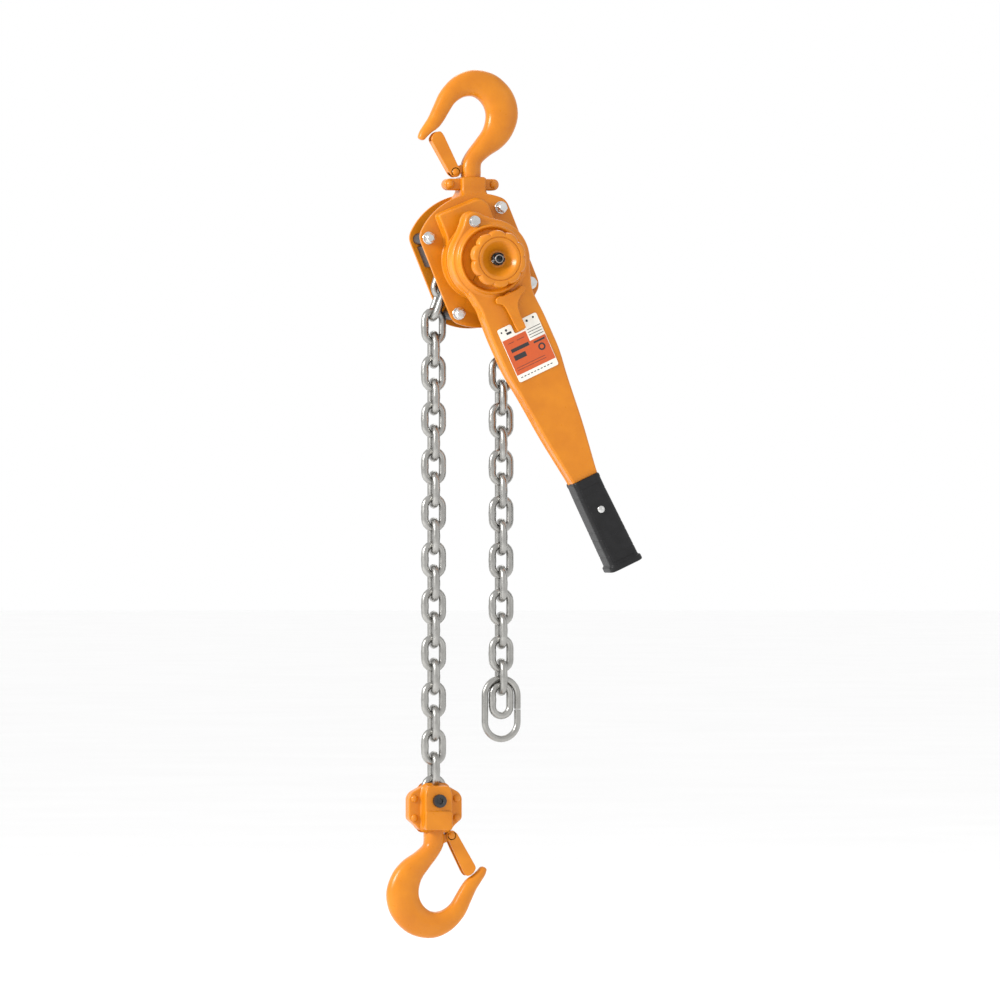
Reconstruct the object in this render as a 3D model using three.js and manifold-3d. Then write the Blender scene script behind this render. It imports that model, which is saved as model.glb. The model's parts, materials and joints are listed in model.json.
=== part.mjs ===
// Lever chain hoist: two forged swivel hooks, a geared load sheave between side plates, a screw brake with a
// ratchet, a free-turning hand wheel, a ratchet lever with a rubber grip, and a welded link chain.
// Millimetres, +Z up, -Y is the front where the lever is. The origin is the saddle of the top hook.
import * as THREE from "three";
import { mergeVertices } from "three/addons/utils/BufferGeometryUtils.js";
import Module from "manifold-3d";

const wasm = await Module();
wasm.setup();

// ---------- driving dimensions ----------
const GAP = 0.3; // clearance between pieces that rest on each other
const AXIS_X = 4; // main shaft, measured from the saddle of the top hook
const AXIS_DROP = 198.6;
const TILT = THREE.MathUtils.degToRad(22.5); // the frame hangs tilted when no load straightens it
const LEVER_TILT = THREE.MathUtils.degToRad(24.9);

const PITCH = 28.15; // load chain
const WIRE = 9;
const LINK_WIDTH = 31;

const PLATE_R = 81; // side plates: a disc flattened on two sides
const PLATE_HALF = 59.5;
const PLATE_CORNER = 7;
const PLATE_IN = 20; // inner face of each side plate, from the chain's plane
const PLATE_OUT = 24.5;
const STAY = 49; // half the spacing of the square of stay bolts
const STAY_R = 7;

const NECK_HALF = 15.5; // the neck that holds the top hook
const NECK_TOP = 100;
const NECK_BOTTOM = 66;
const LUG_Z = 92;
const LUG_REACH = 28;
const LUG_R = 7;

const SHANK_R = 12; // hooks
const GROOVE_R = 10;
const HEAD_R = 12.6;
const HOOK_SADDLE = 24.5; // saddle below the centre of the bowl
const HOOK_GROOVE = 76; // start of the shank's groove above the centre of the bowl
const GROOVE_LENGTH = 9;
const HEAD_LENGTH = 8;

const SHEAVE_POCKETS = 4;
const SHEAVE_GROOVE_R = 17;
const SHEAVE_TURN = THREE.MathUtils.degToRad(2);
const GUIDE_R = 51.5;

const MODULE = 2; // gears
const PINION_TEETH = 10;
const WHEEL_TEETH = 29;
const GEAR_CENTRES = (MODULE * (PINION_TEETH + WHEEL_TEETH)) / 2;
const PRESSURE = THREE.MathUtils.degToRad(20);
const BACKLASH = 0.3;

const BRAKE_FRONT = -37.4;
const BRAKE_R = 47;
const BOSS_HALF = 29;
const BOSS_TOP = 71;
const DISC_R = 37;
const LEVER_BACK = -38.2;
const LEVER_SPLIT = -55;
const LEVER_FRONT = -73;
const LEVER_HEAD_R = 49;
const SHEET = 3;
const RIDGE_R = 41.5;
const RIDGE_FRONT = -80;
const WHEEL_WELL_R = 37.5;
const WHEEL_R = 35;
const WHEEL_LOBES = 10;
const WHEEL_BACK = -75;
const WHEEL_FRONT = -108;
const GRIP_TOP = -285;
const GRIP_END = -405;

// ---------- solids ----------
function solid(geometry) {
  const bare = geometry.index ? geometry.clone() : geometry;
  for (const name of Object.keys(bare.attributes)) if (name !== "position") bare.deleteAttribute(name);
  const merged = mergeVertices(bare, 1e-4);
  const triVerts = new Uint32Array(merged.index.array);
  const vertProperties = merged.attributes.position.array;
  const made = new wasm.Manifold(new wasm.Mesh({ numProp: 3, vertProperties, triVerts }));
  if (made.volume() > 0) return made;
  for (let i = 0; i < triVerts.length; i += 3) {
    [triVerts[i + 1], triVerts[i + 2]] = [triVerts[i + 2], triVerts[i + 1]];
  }
  return new wasm.Manifold(new wasm.Mesh({ numProp: 3, vertProperties, triVerts }));
}

function geometryOf(made) {
  const { vertProperties, triVerts, numProp } = made.getMesh();
  const points = new Float32Array((vertProperties.length / numProp) * 3);
  for (let i = 0; i < points.length / 3; i++) {
    points.set(vertProperties.subarray(i * numProp, i * numProp + 3), i * 3);
  }
  const geometry = new THREE.BufferGeometry();
  geometry.setAttribute("position", new THREE.BufferAttribute(points, 3));
  geometry.setIndex(new THREE.BufferAttribute(triVerts, 1));
  geometry.computeVertexNormals();
  return geometry;
}

const join = (first, ...rest) => rest.reduce((all, next) => all.add(next), first);
const cut = (first, ...rest) => rest.reduce((all, next) => all.subtract(next), first);
const moved = (made, x, y, z) => made.translate([x, y, z]);
const turned = (made, radians) => made.rotate([0, THREE.MathUtils.radToDeg(radians), 0]);

// A shape drawn in X and Z, extruded from the front to the back along Y.
function slab(shape, front, back, segments = 10) {
  const geometry = new THREE.ExtrudeGeometry(shape, {
    depth: back - front,
    bevelEnabled: false,
    curveSegments: segments,
  });
  return solid(geometry.rotateX(Math.PI / 2).translate(0, back, 0));
}

// A slab whose front edge is bevelled by a chamfer.
function dishedSlab(shape, front, back, chamfer, segments = 10) {
  const geometry = new THREE.ExtrudeGeometry(shape, {
    depth: back - front - chamfer,
    bevelThickness: chamfer,
    bevelSize: chamfer,
    bevelOffset: -chamfer,
    bevelSegments: 1,
    curveSegments: segments,
  });
  const made = solid(geometry.rotateX(Math.PI / 2).translate(0, back, 0));
  const keep = solid(new THREE.BoxGeometry(2000, back - front, 2000));
  return made.intersect(moved(keep, 0, (front + back) / 2, 0));
}

function rod(radius, front, back, x = 0, z = 0, sides = 24) {
  const geometry = new THREE.CylinderGeometry(radius, radius, back - front, sides);
  return moved(solid(geometry), x, (front + back) / 2, z);
}

function post(radius, low, high, x = 0, y = 0, sides = 24) {
  const geometry = new THREE.CylinderGeometry(radius, radius, high - low, sides).rotateX(Math.PI / 2);
  return moved(solid(geometry), x, y, (low + high) / 2);
}

// A solid of revolution about Y from a closed profile of [radius, y] pairs.
function lathe(profile, sides = 32) {
  const points = profile.map(([r, y]) => new THREE.Vector2(r, y));
  if (profile[0][0] > 0) points.push(points[0].clone());
  return solid(new THREE.LatheGeometry(points, sides));
}

function box(x0, x1, y0, y1, z0, z1) {
  const geometry = new THREE.BoxGeometry(x1 - x0, y1 - y0, z1 - z0);
  return moved(solid(geometry), (x0 + x1) / 2, (y0 + y1) / 2, (z0 + z1) / 2);
}

// A rivet along Y that clamps the faces at -half and +half with a chamfered head at each end.
function rivet(half, shank, head, height, sides) {
  const front = [[0, -half - height], [head * 0.7, -half - height], [head, -half], [shank, -half]];
  const back = front.map(([r, y]) => [r, -y]).reverse();
  return lathe([...front, ...back], sides);
}

// A surface lofted through rings of equal length, closed by a fan at each end.
function loft(rings) {
  const sides = rings[0].length;
  const points = rings.flat();
  const faces = [];
  for (let i = 0; i + 1 < rings.length; i++) {
    for (let k = 0; k < sides; k++) {
      const a = i * sides + k;
      const b = i * sides + ((k + 1) % sides);
      faces.push(a, b, a + sides, b, b + sides, a + sides);
    }
  }
  const last = (rings.length - 1) * sides;
  for (let k = 1; k + 1 < sides; k++) faces.push(0, k + 1, k, last, last + k, last + k + 1);
  const geometry = new THREE.BufferGeometry().setFromPoints(points);
  geometry.setIndex(faces);
  return solid(geometry);
}

// ---------- materials ----------
const paint = new THREE.MeshStandardMaterial({ color: 0xe88a1e, roughness: 0.4, metalness: 0.1 });
const chainSteel = new THREE.MeshStandardMaterial({ color: 0xb4b5ae, roughness: 0.35, metalness: 0.9 });
const zinc = new THREE.MeshStandardMaterial({ color: 0xdcdcd8, roughness: 0.25, metalness: 0.9 });
const blackSteel = new THREE.MeshStandardMaterial({ color: 0x2a2a2b, roughness: 0.5, metalness: 0.7 });
const gearSteel = new THREE.MeshStandardMaterial({ color: 0x8a8c8e, roughness: 0.4, metalness: 0.9 });
const lining = new THREE.MeshStandardMaterial({ color: 0x5b4a3c, roughness: 0.9, metalness: 0.1 });
const rubber = new THREE.MeshStandardMaterial({ color: 0x1e1f20, roughness: 0.7, metalness: 0 });
const label = new THREE.MeshStandardMaterial({ color: 0xe8e4d8, roughness: 0.5, metalness: 0.1 });

const root = new THREE.Group(); // the frame of the part
const hoist = new THREE.Group(); // measured from the main shaft
hoist.position.set(AXIS_X, 0, -AXIS_DROP);
const frame = new THREE.Group(); // measured from the main shaft, along the side plates
frame.rotation.y = -TILT;
const leverArm = new THREE.Group(); // measured from the main shaft, along the lever
leverArm.rotation.y = -LEVER_TILT;
hoist.add(frame, leverArm);
root.add(hoist);

function piece(name, made, material, group) {
  const mesh = new THREE.Mesh(geometryOf(made), material);
  mesh.name = name;
  group.add(mesh);
  return mesh;
}

// ---------- hooks ----------
// Stations along a hook from the shank to the tip: inner x and z, outer x and z, half thickness.
const HOOK_STATIONS = [
  [12, 62, -12, 62, 12],
  [10, 51.5, -13.5, 55.5, 11.8],
  [3, 40.5, -24, 46.5, 11.8],
  [-7, 27.5, -38.5, 37, 12],
  [-15.8, 14.8, -51, 22.5, 12.4],
  [-19.3, 1, -58.8, 1, 12.6],
  [-17.6, -9.8, -56.2, -21, 12.6],
  [-12.2, -18.2, -45.2, -39, 12.4],
  [-4.8, -23.4, -26.5, -52.5, 12],
  [3.2, -24.4, -1.5, -56.4, 11.6],
  [12, -22, 20.5, -47.8, 10.8],
  [21, -15.4, 36.5, -31, 9.8],
  [28, -4.8, 44.8, -12.5, 8.6],
  [34, 4.8, 48.8, 3, 7.6],
  [40.2, 14, 53, 14.5, 6.8],
  [47, 24, 58, 25.5, 5.8],
  [53, 31.5, 61, 31.8, 4.4],
  [56.4, 36.4, 60, 35.4, 2],
];
const LATCH_PIVOT = [20.7, 67.2];
const EAR = 4.6;
const LATCH_OUTLINE = [
  [26.5, 71.6],
  [50.2, 30.6],
  [43.6, 21.6],
  [38, 23.5],
  [22.5, 55],
  [15.2, 64.5],
];

function oval(centre, out, side, sides) {
  const ring = [];
  for (let k = 0; k < sides; k++) {
    const a = (2 * Math.PI * k) / sides;
    ring.push(centre.clone().addScaledVector(out, Math.cos(a)).addScaledVector(side, Math.sin(a)));
  }
  return ring;
}

function shapeOf(points) {
  return new THREE.Shape(points.map(([x, z]) => new THREE.Vector2(x, z)));
}

// A strip with round ends between two points.
function stadium([x0, z0], [x1, z1], radius) {
  const along = Math.atan2(z1 - z0, x1 - x0);
  const shape = new THREE.Shape();
  shape.absarc(x1, z1, radius, along - Math.PI / 2, along + Math.PI / 2, false);
  shape.absarc(x0, z0, radius, along + Math.PI / 2, along + (3 * Math.PI) / 2, false);
  shape.closePath();
  return shape;
}

function hookBody() {
  const sides = 12;
  const across = new THREE.Vector3(0, 1, 0);
  const rings = [];
  const level = (radius, z) => {
    const out = new THREE.Vector3(-radius, 0, 0);
    rings.push(oval(new THREE.Vector3(0, 0, z), out, new THREE.Vector3(0, radius, 0), sides));
  };
  level(HEAD_R, HOOK_GROOVE + GROOVE_LENGTH + HEAD_LENGTH);
  level(HEAD_R, HOOK_GROOVE + GROOVE_LENGTH);
  level(GROOVE_R, HOOK_GROOVE + GROOVE_LENGTH);
  level(GROOVE_R, HOOK_GROOVE);
  level(SHANK_R, HOOK_GROOVE);
  for (const [xi, zi, xo, zo, half] of HOOK_STATIONS) {
    const centre = new THREE.Vector3((xi + xo) / 2, 0, (zi + zo) / 2);
    const out = new THREE.Vector3((xo - xi) / 2, 0, (zo - zi) / 2);
    rings.push(oval(centre, out, across.clone().multiplyScalar(half), sides));
  }
  const ear = slab(stadium([6, 60], LATCH_PIVOT, EAR), -4, 4, 6);
  return cut(join(loft(rings), ear), rod(2.8, -20, 20, ...LATCH_PIVOT, 10));
}

// A folded sheet that straddles the ear and closes against the inside of the tip.
function latchBody() {
  const sheet = 2.2;
  const half = 7;
  const eye = slab(stadium([19, 66], LATCH_PIVOT, 6.2), -half, half, 6);
  const cheeks = join(slab(shapeOf(LATCH_OUTLINE), -half, half), eye);
  const hollow = shapeOf([
    [24.6, 70.5],
    [48.3, 29.5],
    [46, 10],
    [0, 10],
    [0, 80],
    [19.1, 80],
  ]);
  return cut(cheeks, slab(hollow, -half + sheet, half - sheet), rod(2.8, -20, 20, ...LATCH_PIVOT, 10));
}

function hook(place, group) {
  piece(`${place}_hook`, hookBody(), paint, group);
  piece(`${place}_hook_latch`, latchBody(), paint, group);
  const pin = moved(rivet(7.3, 2.5, 4.4, 1.7, 8), LATCH_PIVOT[0], 0, LATCH_PIVOT[1]);
  piece(`${place}_latch_pin`, pin, paint, group);
}

const topHook = new THREE.Group(); // measured from the centre of the bowl, turned upside down
topHook.position.set(0, 0, -HOOK_SADDLE);
topHook.rotation.y = Math.PI;
root.add(topHook);
hook("top", topHook);

// ---------- side plates with the neck ----------
const SHANK_X = -AXIS_X;
const SHANK_GROOVE_TOP = AXIS_DROP - HOOK_SADDLE - HOOK_GROOVE;
const BOLT_CORNERS = [
  [-STAY, STAY],
  [STAY, STAY],
  [-STAY, -STAY],
  [STAY, -STAY],
];

function plateShape(radius, half, corner) {
  const shape = new THREE.Shape();
  const start = Math.acos(half / radius);
  const ease = corner / radius;
  const height = radius * Math.sin(start);
  shape.moveTo(half, -height + corner);
  shape.lineTo(half, height - corner);
  shape.quadraticCurveTo(half, height, radius * Math.cos(start + ease), radius * Math.sin(start + ease));
  shape.absarc(0, 0, radius, start + ease, Math.PI - start - ease, false);
  shape.quadraticCurveTo(-half, height, -half, height - corner);
  shape.lineTo(-half, -height + corner);
  shape.quadraticCurveTo(-half, -height, -radius * Math.cos(start + ease), -radius * Math.sin(start + ease));
  shape.absarc(0, 0, radius, Math.PI + start + ease, 2 * Math.PI - start - ease, false);
  shape.quadraticCurveTo(half, -height, half, -height + corner);
  return shape;
}

// The cavity that holds the head of a hook: a neck that fits the groove and a room for the head below it.
function shankRoom(x, grooveTop, upward) {
  const lip = upward * (GROOVE_LENGTH - 0.6);
  const room = upward * (GROOVE_LENGTH + HEAD_LENGTH + 0.6);
  const span = (radius, from, to) => post(radius, Math.min(from, to), Math.max(from, to), x, 0, 16);
  return join(
    span(GROOVE_R + GAP, grooveTop + upward * 20, grooveTop - room),
    span(SHANK_R + GAP, grooveTop + upward * 60, grooveTop - upward * GAP),
    span(HEAD_R + GAP, grooveTop - lip, grooveTop - room),
  );
}

// One side: +1 for the rear plate, -1 for the front plate. Neck and plate are one forging.
function sidePlate(side) {
  const span = (near, far) => [Math.min(side * near, side * far), Math.max(side * near, side * far)];
  const outline = plateShape(PLATE_R, PLATE_HALF, PLATE_CORNER);
  const plate = turned(slab(outline, ...span(PLATE_IN, PLATE_OUT), 12), -TILT);
  const neckShape = shapeOf([
    [SHANK_X - NECK_HALF - 3, NECK_BOTTOM],
    [SHANK_X - NECK_HALF, NECK_BOTTOM + 12],
    [SHANK_X - NECK_HALF, NECK_TOP - 2],
    [SHANK_X - NECK_HALF + 2, NECK_TOP],
    [SHANK_X + NECK_HALF - 2, NECK_TOP],
    [SHANK_X + NECK_HALF, NECK_TOP - 2],
    [SHANK_X + NECK_HALF, NECK_BOTTOM + 12],
    [SHANK_X + NECK_HALF + 3, NECK_BOTTOM],
  ].reverse());
  const neck = slab(neckShape, ...span(GAP / 2, PLATE_OUT));
  const lugEnds = [SHANK_X - LUG_REACH, SHANK_X + LUG_REACH];
  const lug = slab(stadium([lugEnds[0], LUG_Z], [lugEnds[1], LUG_Z], LUG_R), ...span(GAP / 2, 9), 8);
  const holes = [
    ...lugEnds.map((x) => rod(3.3, -60, 60, x, LUG_Z, 12)),
    ...BOLT_CORNERS.map(([x, z]) => turned(rod(5.4, -60, 60, x, z, 10), -TILT)),
    rod(14.4, -60, 60, 0, 0, 24),
    ...[-1, 1].map((way) => turned(rod(5.1, 0, 60, 0, way * GEAR_CENTRES, 12), -TILT)),
    shankRoom(SHANK_X, SHANK_GROOVE_TOP, 1),
  ];
  return cut(join(plate, neck, lug), ...holes);
}

piece("front_side_plate", sidePlate(-1), paint, hoist);
piece("rear_side_plate", sidePlate(1), paint, hoist);
for (const [name, x] of [["left", SHANK_X - LUG_REACH], ["right", SHANK_X + LUG_REACH]]) {
  piece(`neck_rivet_${name}`, moved(rivet(9.3, 3, 5.2, 3.1, 8), x, 0, LUG_Z), paint, hoist);
}

// Stay bolts: a thick stay between the plates, thinner ends and a nut on each end.
function stayBolt() {
  const stay = lathe([
    [0, -34], [5, -34], [5, -PLATE_IN + GAP], [STAY_R, -PLATE_IN + GAP],
    [STAY_R, PLATE_IN - GAP], [5, PLATE_IN - GAP], [5, 34], [0, 34],
  ], 10);
  const nut = (front) => rod(7.2, front, front + 6.5, 0, 0, 6);
  return join(stay, nut(-PLATE_OUT - GAP - 6.5), nut(PLATE_OUT + GAP));
}
BOLT_CORNERS.forEach(([x, z], i) => piece(`stay_bolt_${i + 1}`, moved(stayBolt(), x, 0, z), zinc, frame));

// ---------- chain guide and stripper between the plates ----------
function arcBand(inner, outer, from, to) {
  const shape = new THREE.Shape();
  shape.absarc(0, 0, outer, from, to, false);
  shape.absarc(0, 0, inner, to, from, true);
  shape.closePath();
  return shape;
}
const degrees = THREE.MathUtils.degToRad;
const guideShape = arcBand(GUIDE_R, GUIDE_R + 8, degrees(14), degrees(174));
const guide = slab(guideShape, -PLATE_IN + GAP, PLATE_IN - GAP, 14);
piece("chain_guide", guide, blackSteel, hoist);
const stripper = cut(
  slab(shapeOf([[-12, -54], [12, -54], [17, -26], [-17, -26]]), -PLATE_IN + GAP, PLATE_IN - GAP),
  rod(40.5, -60, 60, 0, 0, 40),
);
piece("chain_stripper", stripper, blackSteel, hoist);

// ---------- load sheave and chain ----------
const RUN_X = -50.5; // the stay at the lower left pushes the loaded run this far out
const CHAIN_R = PITCH / 2 / Math.tan(Math.PI / (2 * SHEAVE_POCKETS)); // centres of the links on the sheave
const KINK_R = PITCH / 2 / Math.sin(Math.PI / (2 * SHEAVE_POCKETS)); // where two links on the sheave meet
const KINK_STEP = Math.PI / (2 * SHEAVE_POCKETS);
const BITE = 1; // links of one run sink this far into each other, so that a run is one body
const RUN_GAP = BITE + GAP;
const TURN_GAP = RUN_GAP + 0.5; // the end links on the sheave turn while the runs travel straight
const LEAD_SHIFT = 2.5; // keeps the last link on the sheave clear inside the slanting one as it turns
const LOAD_PAIRS = 10;
const LOAD_UPPER_PAIRS = 2;
const SLACK_PAIRS = 9;
const SLACK_UPPER_PAIRS = 3;

// A wire bent to a closed oval in X and Z.
function wireLoop(straight, bend, wire, steps, sides) {
  const points = [];
  const rounds = 2 * (steps + 1);
  for (let i = 0; i < rounds; i++) {
    const end = i <= steps ? 1 : -1;
    const a = (Math.PI * (i <= steps ? i : i - 1)) / steps;
    const out = new THREE.Vector3(Math.cos(a), 0, Math.sin(a));
    const centre = out.clone().multiplyScalar(bend).add(new THREE.Vector3(0, 0, end * straight));
    points.push(...oval(centre, out.multiplyScalar(wire / 2), new THREE.Vector3(0, wire / 2, 0), sides));
  }
  const faces = [];
  for (let i = 0; i < rounds; i++) {
    for (let k = 0; k < sides; k++) {
      const a = i * sides + k;
      const b = i * sides + ((k + 1) % sides);
      const c = ((i + 1) % rounds) * sides + k;
      const d = ((i + 1) % rounds) * sides + ((k + 1) % sides);
      faces.push(a, b, c, b, d, c);
    }
  }
  const geometry = new THREE.BufferGeometry().setFromPoints(points);
  geometry.setIndex(faces);
  return solid(geometry);
}

const linkBend = (LINK_WIDTH - WIRE) / 2;
const faceOnLink = wireLoop((PITCH - BITE + WIRE) / 2 - linkBend, linkBend, WIRE, 4, 6);
const edgeOnLink = faceOnLink.rotate([0, 0, 90]);

// A link whose length points along the angle "lean" measured from straight up, towards +X.
const linkAt = (shape, x, z, lean = 0) => moved(turned(shape, lean), x, 0, z);

const sheaveLinks = [];
for (let i = 0; i < 5; i++) {
  const a = SHEAVE_TURN + (i * Math.PI) / SHEAVE_POCKETS;
  sheaveLinks.push(linkAt(i % 2 ? faceOnLink : edgeOnLink, CHAIN_R * Math.cos(a), CHAIN_R * Math.sin(a), -a));
}
piece("chain_on_sheave", join(...sheaveLinks), chainSteel, hoist);

function pocket(angle) {
  const room = box(CHAIN_R - WIRE / 2 - 0.4, 80, -LINK_WIDTH / 2 - 0.9, LINK_WIDTH / 2 + 0.9, -24.2, 24.2);
  return turned(room, -angle);
}

const sheaveBlank = lathe([
  [9.3, -PLATE_OUT], [14, -PLATE_OUT], [14, -PLATE_IN + GAP], [19, -18.5], [38, -18.5], [38, -5.6],
  [SHEAVE_GROOVE_R, -5.6], [SHEAVE_GROOVE_R, 5.6], [38, 5.6], [38, 18.5], [19, 18.5],
  [14, PLATE_IN - GAP], [14, PLATE_OUT + 1.5], [12, PLATE_OUT + 1.5], [12, 36.5], [9.3, 36.5],
], 20);
const pockets = [0, 1, 2, 3].map((i) => pocket(SHEAVE_TURN + (i * 2 * Math.PI) / SHEAVE_POCKETS));
piece("load_sheave", cut(sheaveBlank, ...pockets), gearSteel, hoist);

// The loaded run: two slanting links, then face-on and edge-on links straight down.
const leadStart = SHEAVE_TURN + Math.PI + KINK_STEP;
const leadX = KINK_R * Math.cos(leadStart) + LEAD_SHIFT;
const leadZ = KINK_R * Math.sin(leadStart) + TURN_GAP;
const leadLean = Math.asin((leadX - RUN_X) / (2 * PITCH));
const leadPoint = (steps) => [
  leadX - steps * PITCH * Math.sin(leadLean),
  leadZ - steps * PITCH * Math.cos(leadLean),
];
const runTop = leadPoint(2)[1];
const pairZ = (top, i) => top - PITCH / 2 - i * 2 * PITCH;

function straightRun(x, top, from, to) {
  const links = [];
  for (let i = from; i < to; i++) {
    links.push(linkAt(faceOnLink, x, pairZ(top, i)), linkAt(edgeOnLink, x, pairZ(top, i) - PITCH));
  }
  return links;
}

const lead = [
  linkAt(faceOnLink, ...leadPoint(0.5), leadLean),
  linkAt(edgeOnLink, ...leadPoint(1.5), leadLean),
];
const loadUpper = straightRun(RUN_X, runTop, 0, LOAD_UPPER_PAIRS);
piece("load_chain_upper", join(...lead, ...loadUpper), chainSteel, hoist);
const loadLowerTop = runTop + RUN_GAP;
const pinLinkZ = pairZ(loadLowerTop, LOAD_PAIRS);
const loadLower = straightRun(RUN_X, loadLowerTop, LOAD_UPPER_PAIRS, LOAD_PAIRS);
piece("load_chain_lower", join(...loadLower, linkAt(faceOnLink, RUN_X, pinLinkZ)), chainSteel, hoist);

// The slack run with the ring that stops its end from being pulled through.
const slackX = KINK_R * Math.cos(SHEAVE_TURN - KINK_STEP);
const slackTop = KINK_R * Math.sin(SHEAVE_TURN - KINK_STEP) + TURN_GAP;
piece("slack_chain_upper", join(...straightRun(slackX, slackTop, 0, SLACK_UPPER_PAIRS)), chainSteel, hoist);
const slackLowerTop = slackTop + RUN_GAP;
const lastLinkZ = pairZ(slackLowerTop, SLACK_PAIRS);
const slackLower = straightRun(slackX, slackLowerTop, SLACK_UPPER_PAIRS, SLACK_PAIRS);
piece("slack_chain_lower", join(...slackLower, linkAt(faceOnLink, slackX, lastLinkZ)), chainSteel, hoist);

const RING_WIDTH = 49;
const RING_HEIGHT = 81;
const RING_WIRE = 8;
const ringBend = (RING_WIDTH - RING_WIRE) / 2;
const ring = wireLoop((RING_HEIGHT - RING_WIRE) / 2 - ringBend, ringBend, RING_WIRE, 6, 8);
const ringZ = lastLinkZ + (PITCH - BITE) / 2 + WIRE + GAP + RING_WIRE - RING_HEIGHT / 2;
piece("chain_end_ring", moved(ring, slackX, 0, ringZ), chainSteel, hoist);

// ---------- gears behind the rear plate ----------
function gearShape(teeth, turn) {
  const pitchR = (MODULE * teeth) / 2;
  const baseR = pitchR * Math.cos(PRESSURE);
  const tipR = pitchR + 0.85 * MODULE;
  const rootR = pitchR - 1.2 * MODULE;
  const flare = (r) => Math.sqrt(Math.max(0, (r / baseR) ** 2 - 1)) - Math.acos(Math.min(1, baseR / r));
  const halfAtPitch = (Math.PI * MODULE) / 2 / 2 / pitchR - BACKLASH / 2 / pitchR;
  const half = (r) => halfAtPitch + flare(pitchR) - flare(Math.max(r, baseR));
  const levels = [rootR, tipR];
  const points = [];
  for (let i = 0; i < teeth; i++) {
    const middle = turn + (2 * Math.PI * i) / teeth;
    const flank = (r, way) => {
      const a = middle + way * half(r);
      points.push([r * Math.cos(a), r * Math.sin(a)]);
    };
    levels.forEach((r) => flank(r, -1));
    [...levels].reverse().forEach((r) => flank(r, 1));
  }
  return shapeOf(points);
}

// The turn of a gear that puts one of its gaps where a tooth of its partner points.
function meshTurn(direction, partnerTurn, partnerTeeth, teeth) {
  const share = ((direction - partnerTurn) * partnerTeeth) / (2 * Math.PI);
  return direction + Math.PI - (0.5 - share) * ((2 * Math.PI) / teeth);
}

const GEAR_REAR = [39, 46.5]; // drive pinion and the large wheels
const GEAR_FRONT = [28, 35.5]; // small pinions and the load gear
const loadGear = cut(slab(gearShape(WHEEL_TEETH, 0), ...GEAR_FRONT), rod(12.3, 0, 60));
piece("load_gear", loadGear, gearSteel, frame);
for (const [name, way] of [["upper", 1], ["lower", -1]]) {
  const direction = (way * Math.PI) / 2;
  const wheelTurn = meshTurn(direction, 0, PINION_TEETH, WHEEL_TEETH);
  const smallTurn = meshTurn(direction, 0, WHEEL_TEETH, PINION_TEETH);
  const made = join(
    rod(4.8, PLATE_IN + 0.5, 53),
    slab(gearShape(PINION_TEETH, smallTurn), GEAR_FRONT[0], GEAR_REAR[0] + 1),
    slab(gearShape(WHEEL_TEETH, wheelTurn), ...GEAR_REAR),
  );
  piece(`intermediate_gear_${name}`, moved(made, 0, 0, way * GEAR_CENTRES), gearSteel, frame);
}

const COVER_BACK = 58;
const COVER_R = 36.5;
const coverEnds = [[0, -GEAR_CENTRES], [0, GEAR_CENTRES]];
const coverSpan = (radius) => stadium(...coverEnds, radius);
const coverBody = dishedSlab(coverSpan(COVER_R), -COVER_BACK, -PLATE_OUT - GAP, 5, 8).rotate([0, 0, 180]);
const coverFlange = slab(coverSpan(COVER_R + 4.5), PLATE_OUT + GAP, PLATE_OUT + 3.3, 8);
const coverRoom = slab(coverSpan(COVER_R - 3), PLATE_OUT - 1, COVER_BACK - 8, 8);
const bearings = [-GEAR_CENTRES, 0, GEAR_CENTRES].map((z) => rod(10, 49, COVER_BACK - 3, 0, z, 14));
const journals = [-GEAR_CENTRES, 0, GEAR_CENTRES].map((z) => rod(z === 0 ? 6.3 : 5.1, 40, 54, 0, z, 14));
const COVER_SCREWS = [[-42.5, -26], [42.5, -26], [-42.5, 26], [42.5, 26]];
const screwHoles = COVER_SCREWS.map(([x, z]) => rod(2.3, 10, 40, x, z, 10));
const lugsOnCover = COVER_SCREWS.map(([x, z]) => rod(6, PLATE_OUT + GAP, PLATE_OUT + 3.3, x, z, 16));
const coverShell = cut(join(coverBody, coverFlange, ...lugsOnCover), coverRoom);
piece("gear_cover", cut(join(coverShell, ...bearings), ...journals, ...screwHoles), paint, frame);
COVER_SCREWS.forEach(([x, z], i) => {
  const shank = rod(2, PLATE_OUT + GAP, PLATE_OUT + 4, x, z, 10);
  const head = rod(4.2, PLATE_OUT + 3.6, PLATE_OUT + 7.5, x, z, 6);
  piece(`cover_screw_${i + 1}`, join(shank, head), zinc, frame);
});

// ---------- the drive: shaft, brake and hand wheel ----------
const CHANGE_FRONT = -60;
const WHEEL_WEB = -96.5;
const mainShaft = lathe([
  [0, -106], [5, -106], [5.5, -105.3], [5.5, -89.6], [7.8, -89.6], [7.8, -27.2], [12, -27.2], [12, -25.2],
  [9, -25.2], [9, GEAR_REAR[0]], [6, GEAR_REAR[0]], [6, 53], [0, 53],
], 16);
const drivePinion = slab(gearShape(PINION_TEETH, 0), ...GEAR_REAR);
const splitPinHole = box(-12, 12, -102.7, -100.3, -1.2, 1.2);
piece("pinion_shaft", cut(join(mainShaft, drivePinion), splitPinHole), gearSteel, frame);

const washer = (outer, inner, front, back, sides = 18) =>
  lathe([[inner, front], [outer, front], [outer, back], [inner, back]], sides);
piece("friction_hub", washer(32, 12.3, -27.1, -25.1), gearSteel, frame);
piece("friction_disc_rear", washer(31, 12.3, -28.6, -27.4), lining, frame);
piece("friction_disc_front", washer(31, 12.3, -33, -31.8), lining, frame);

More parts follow.
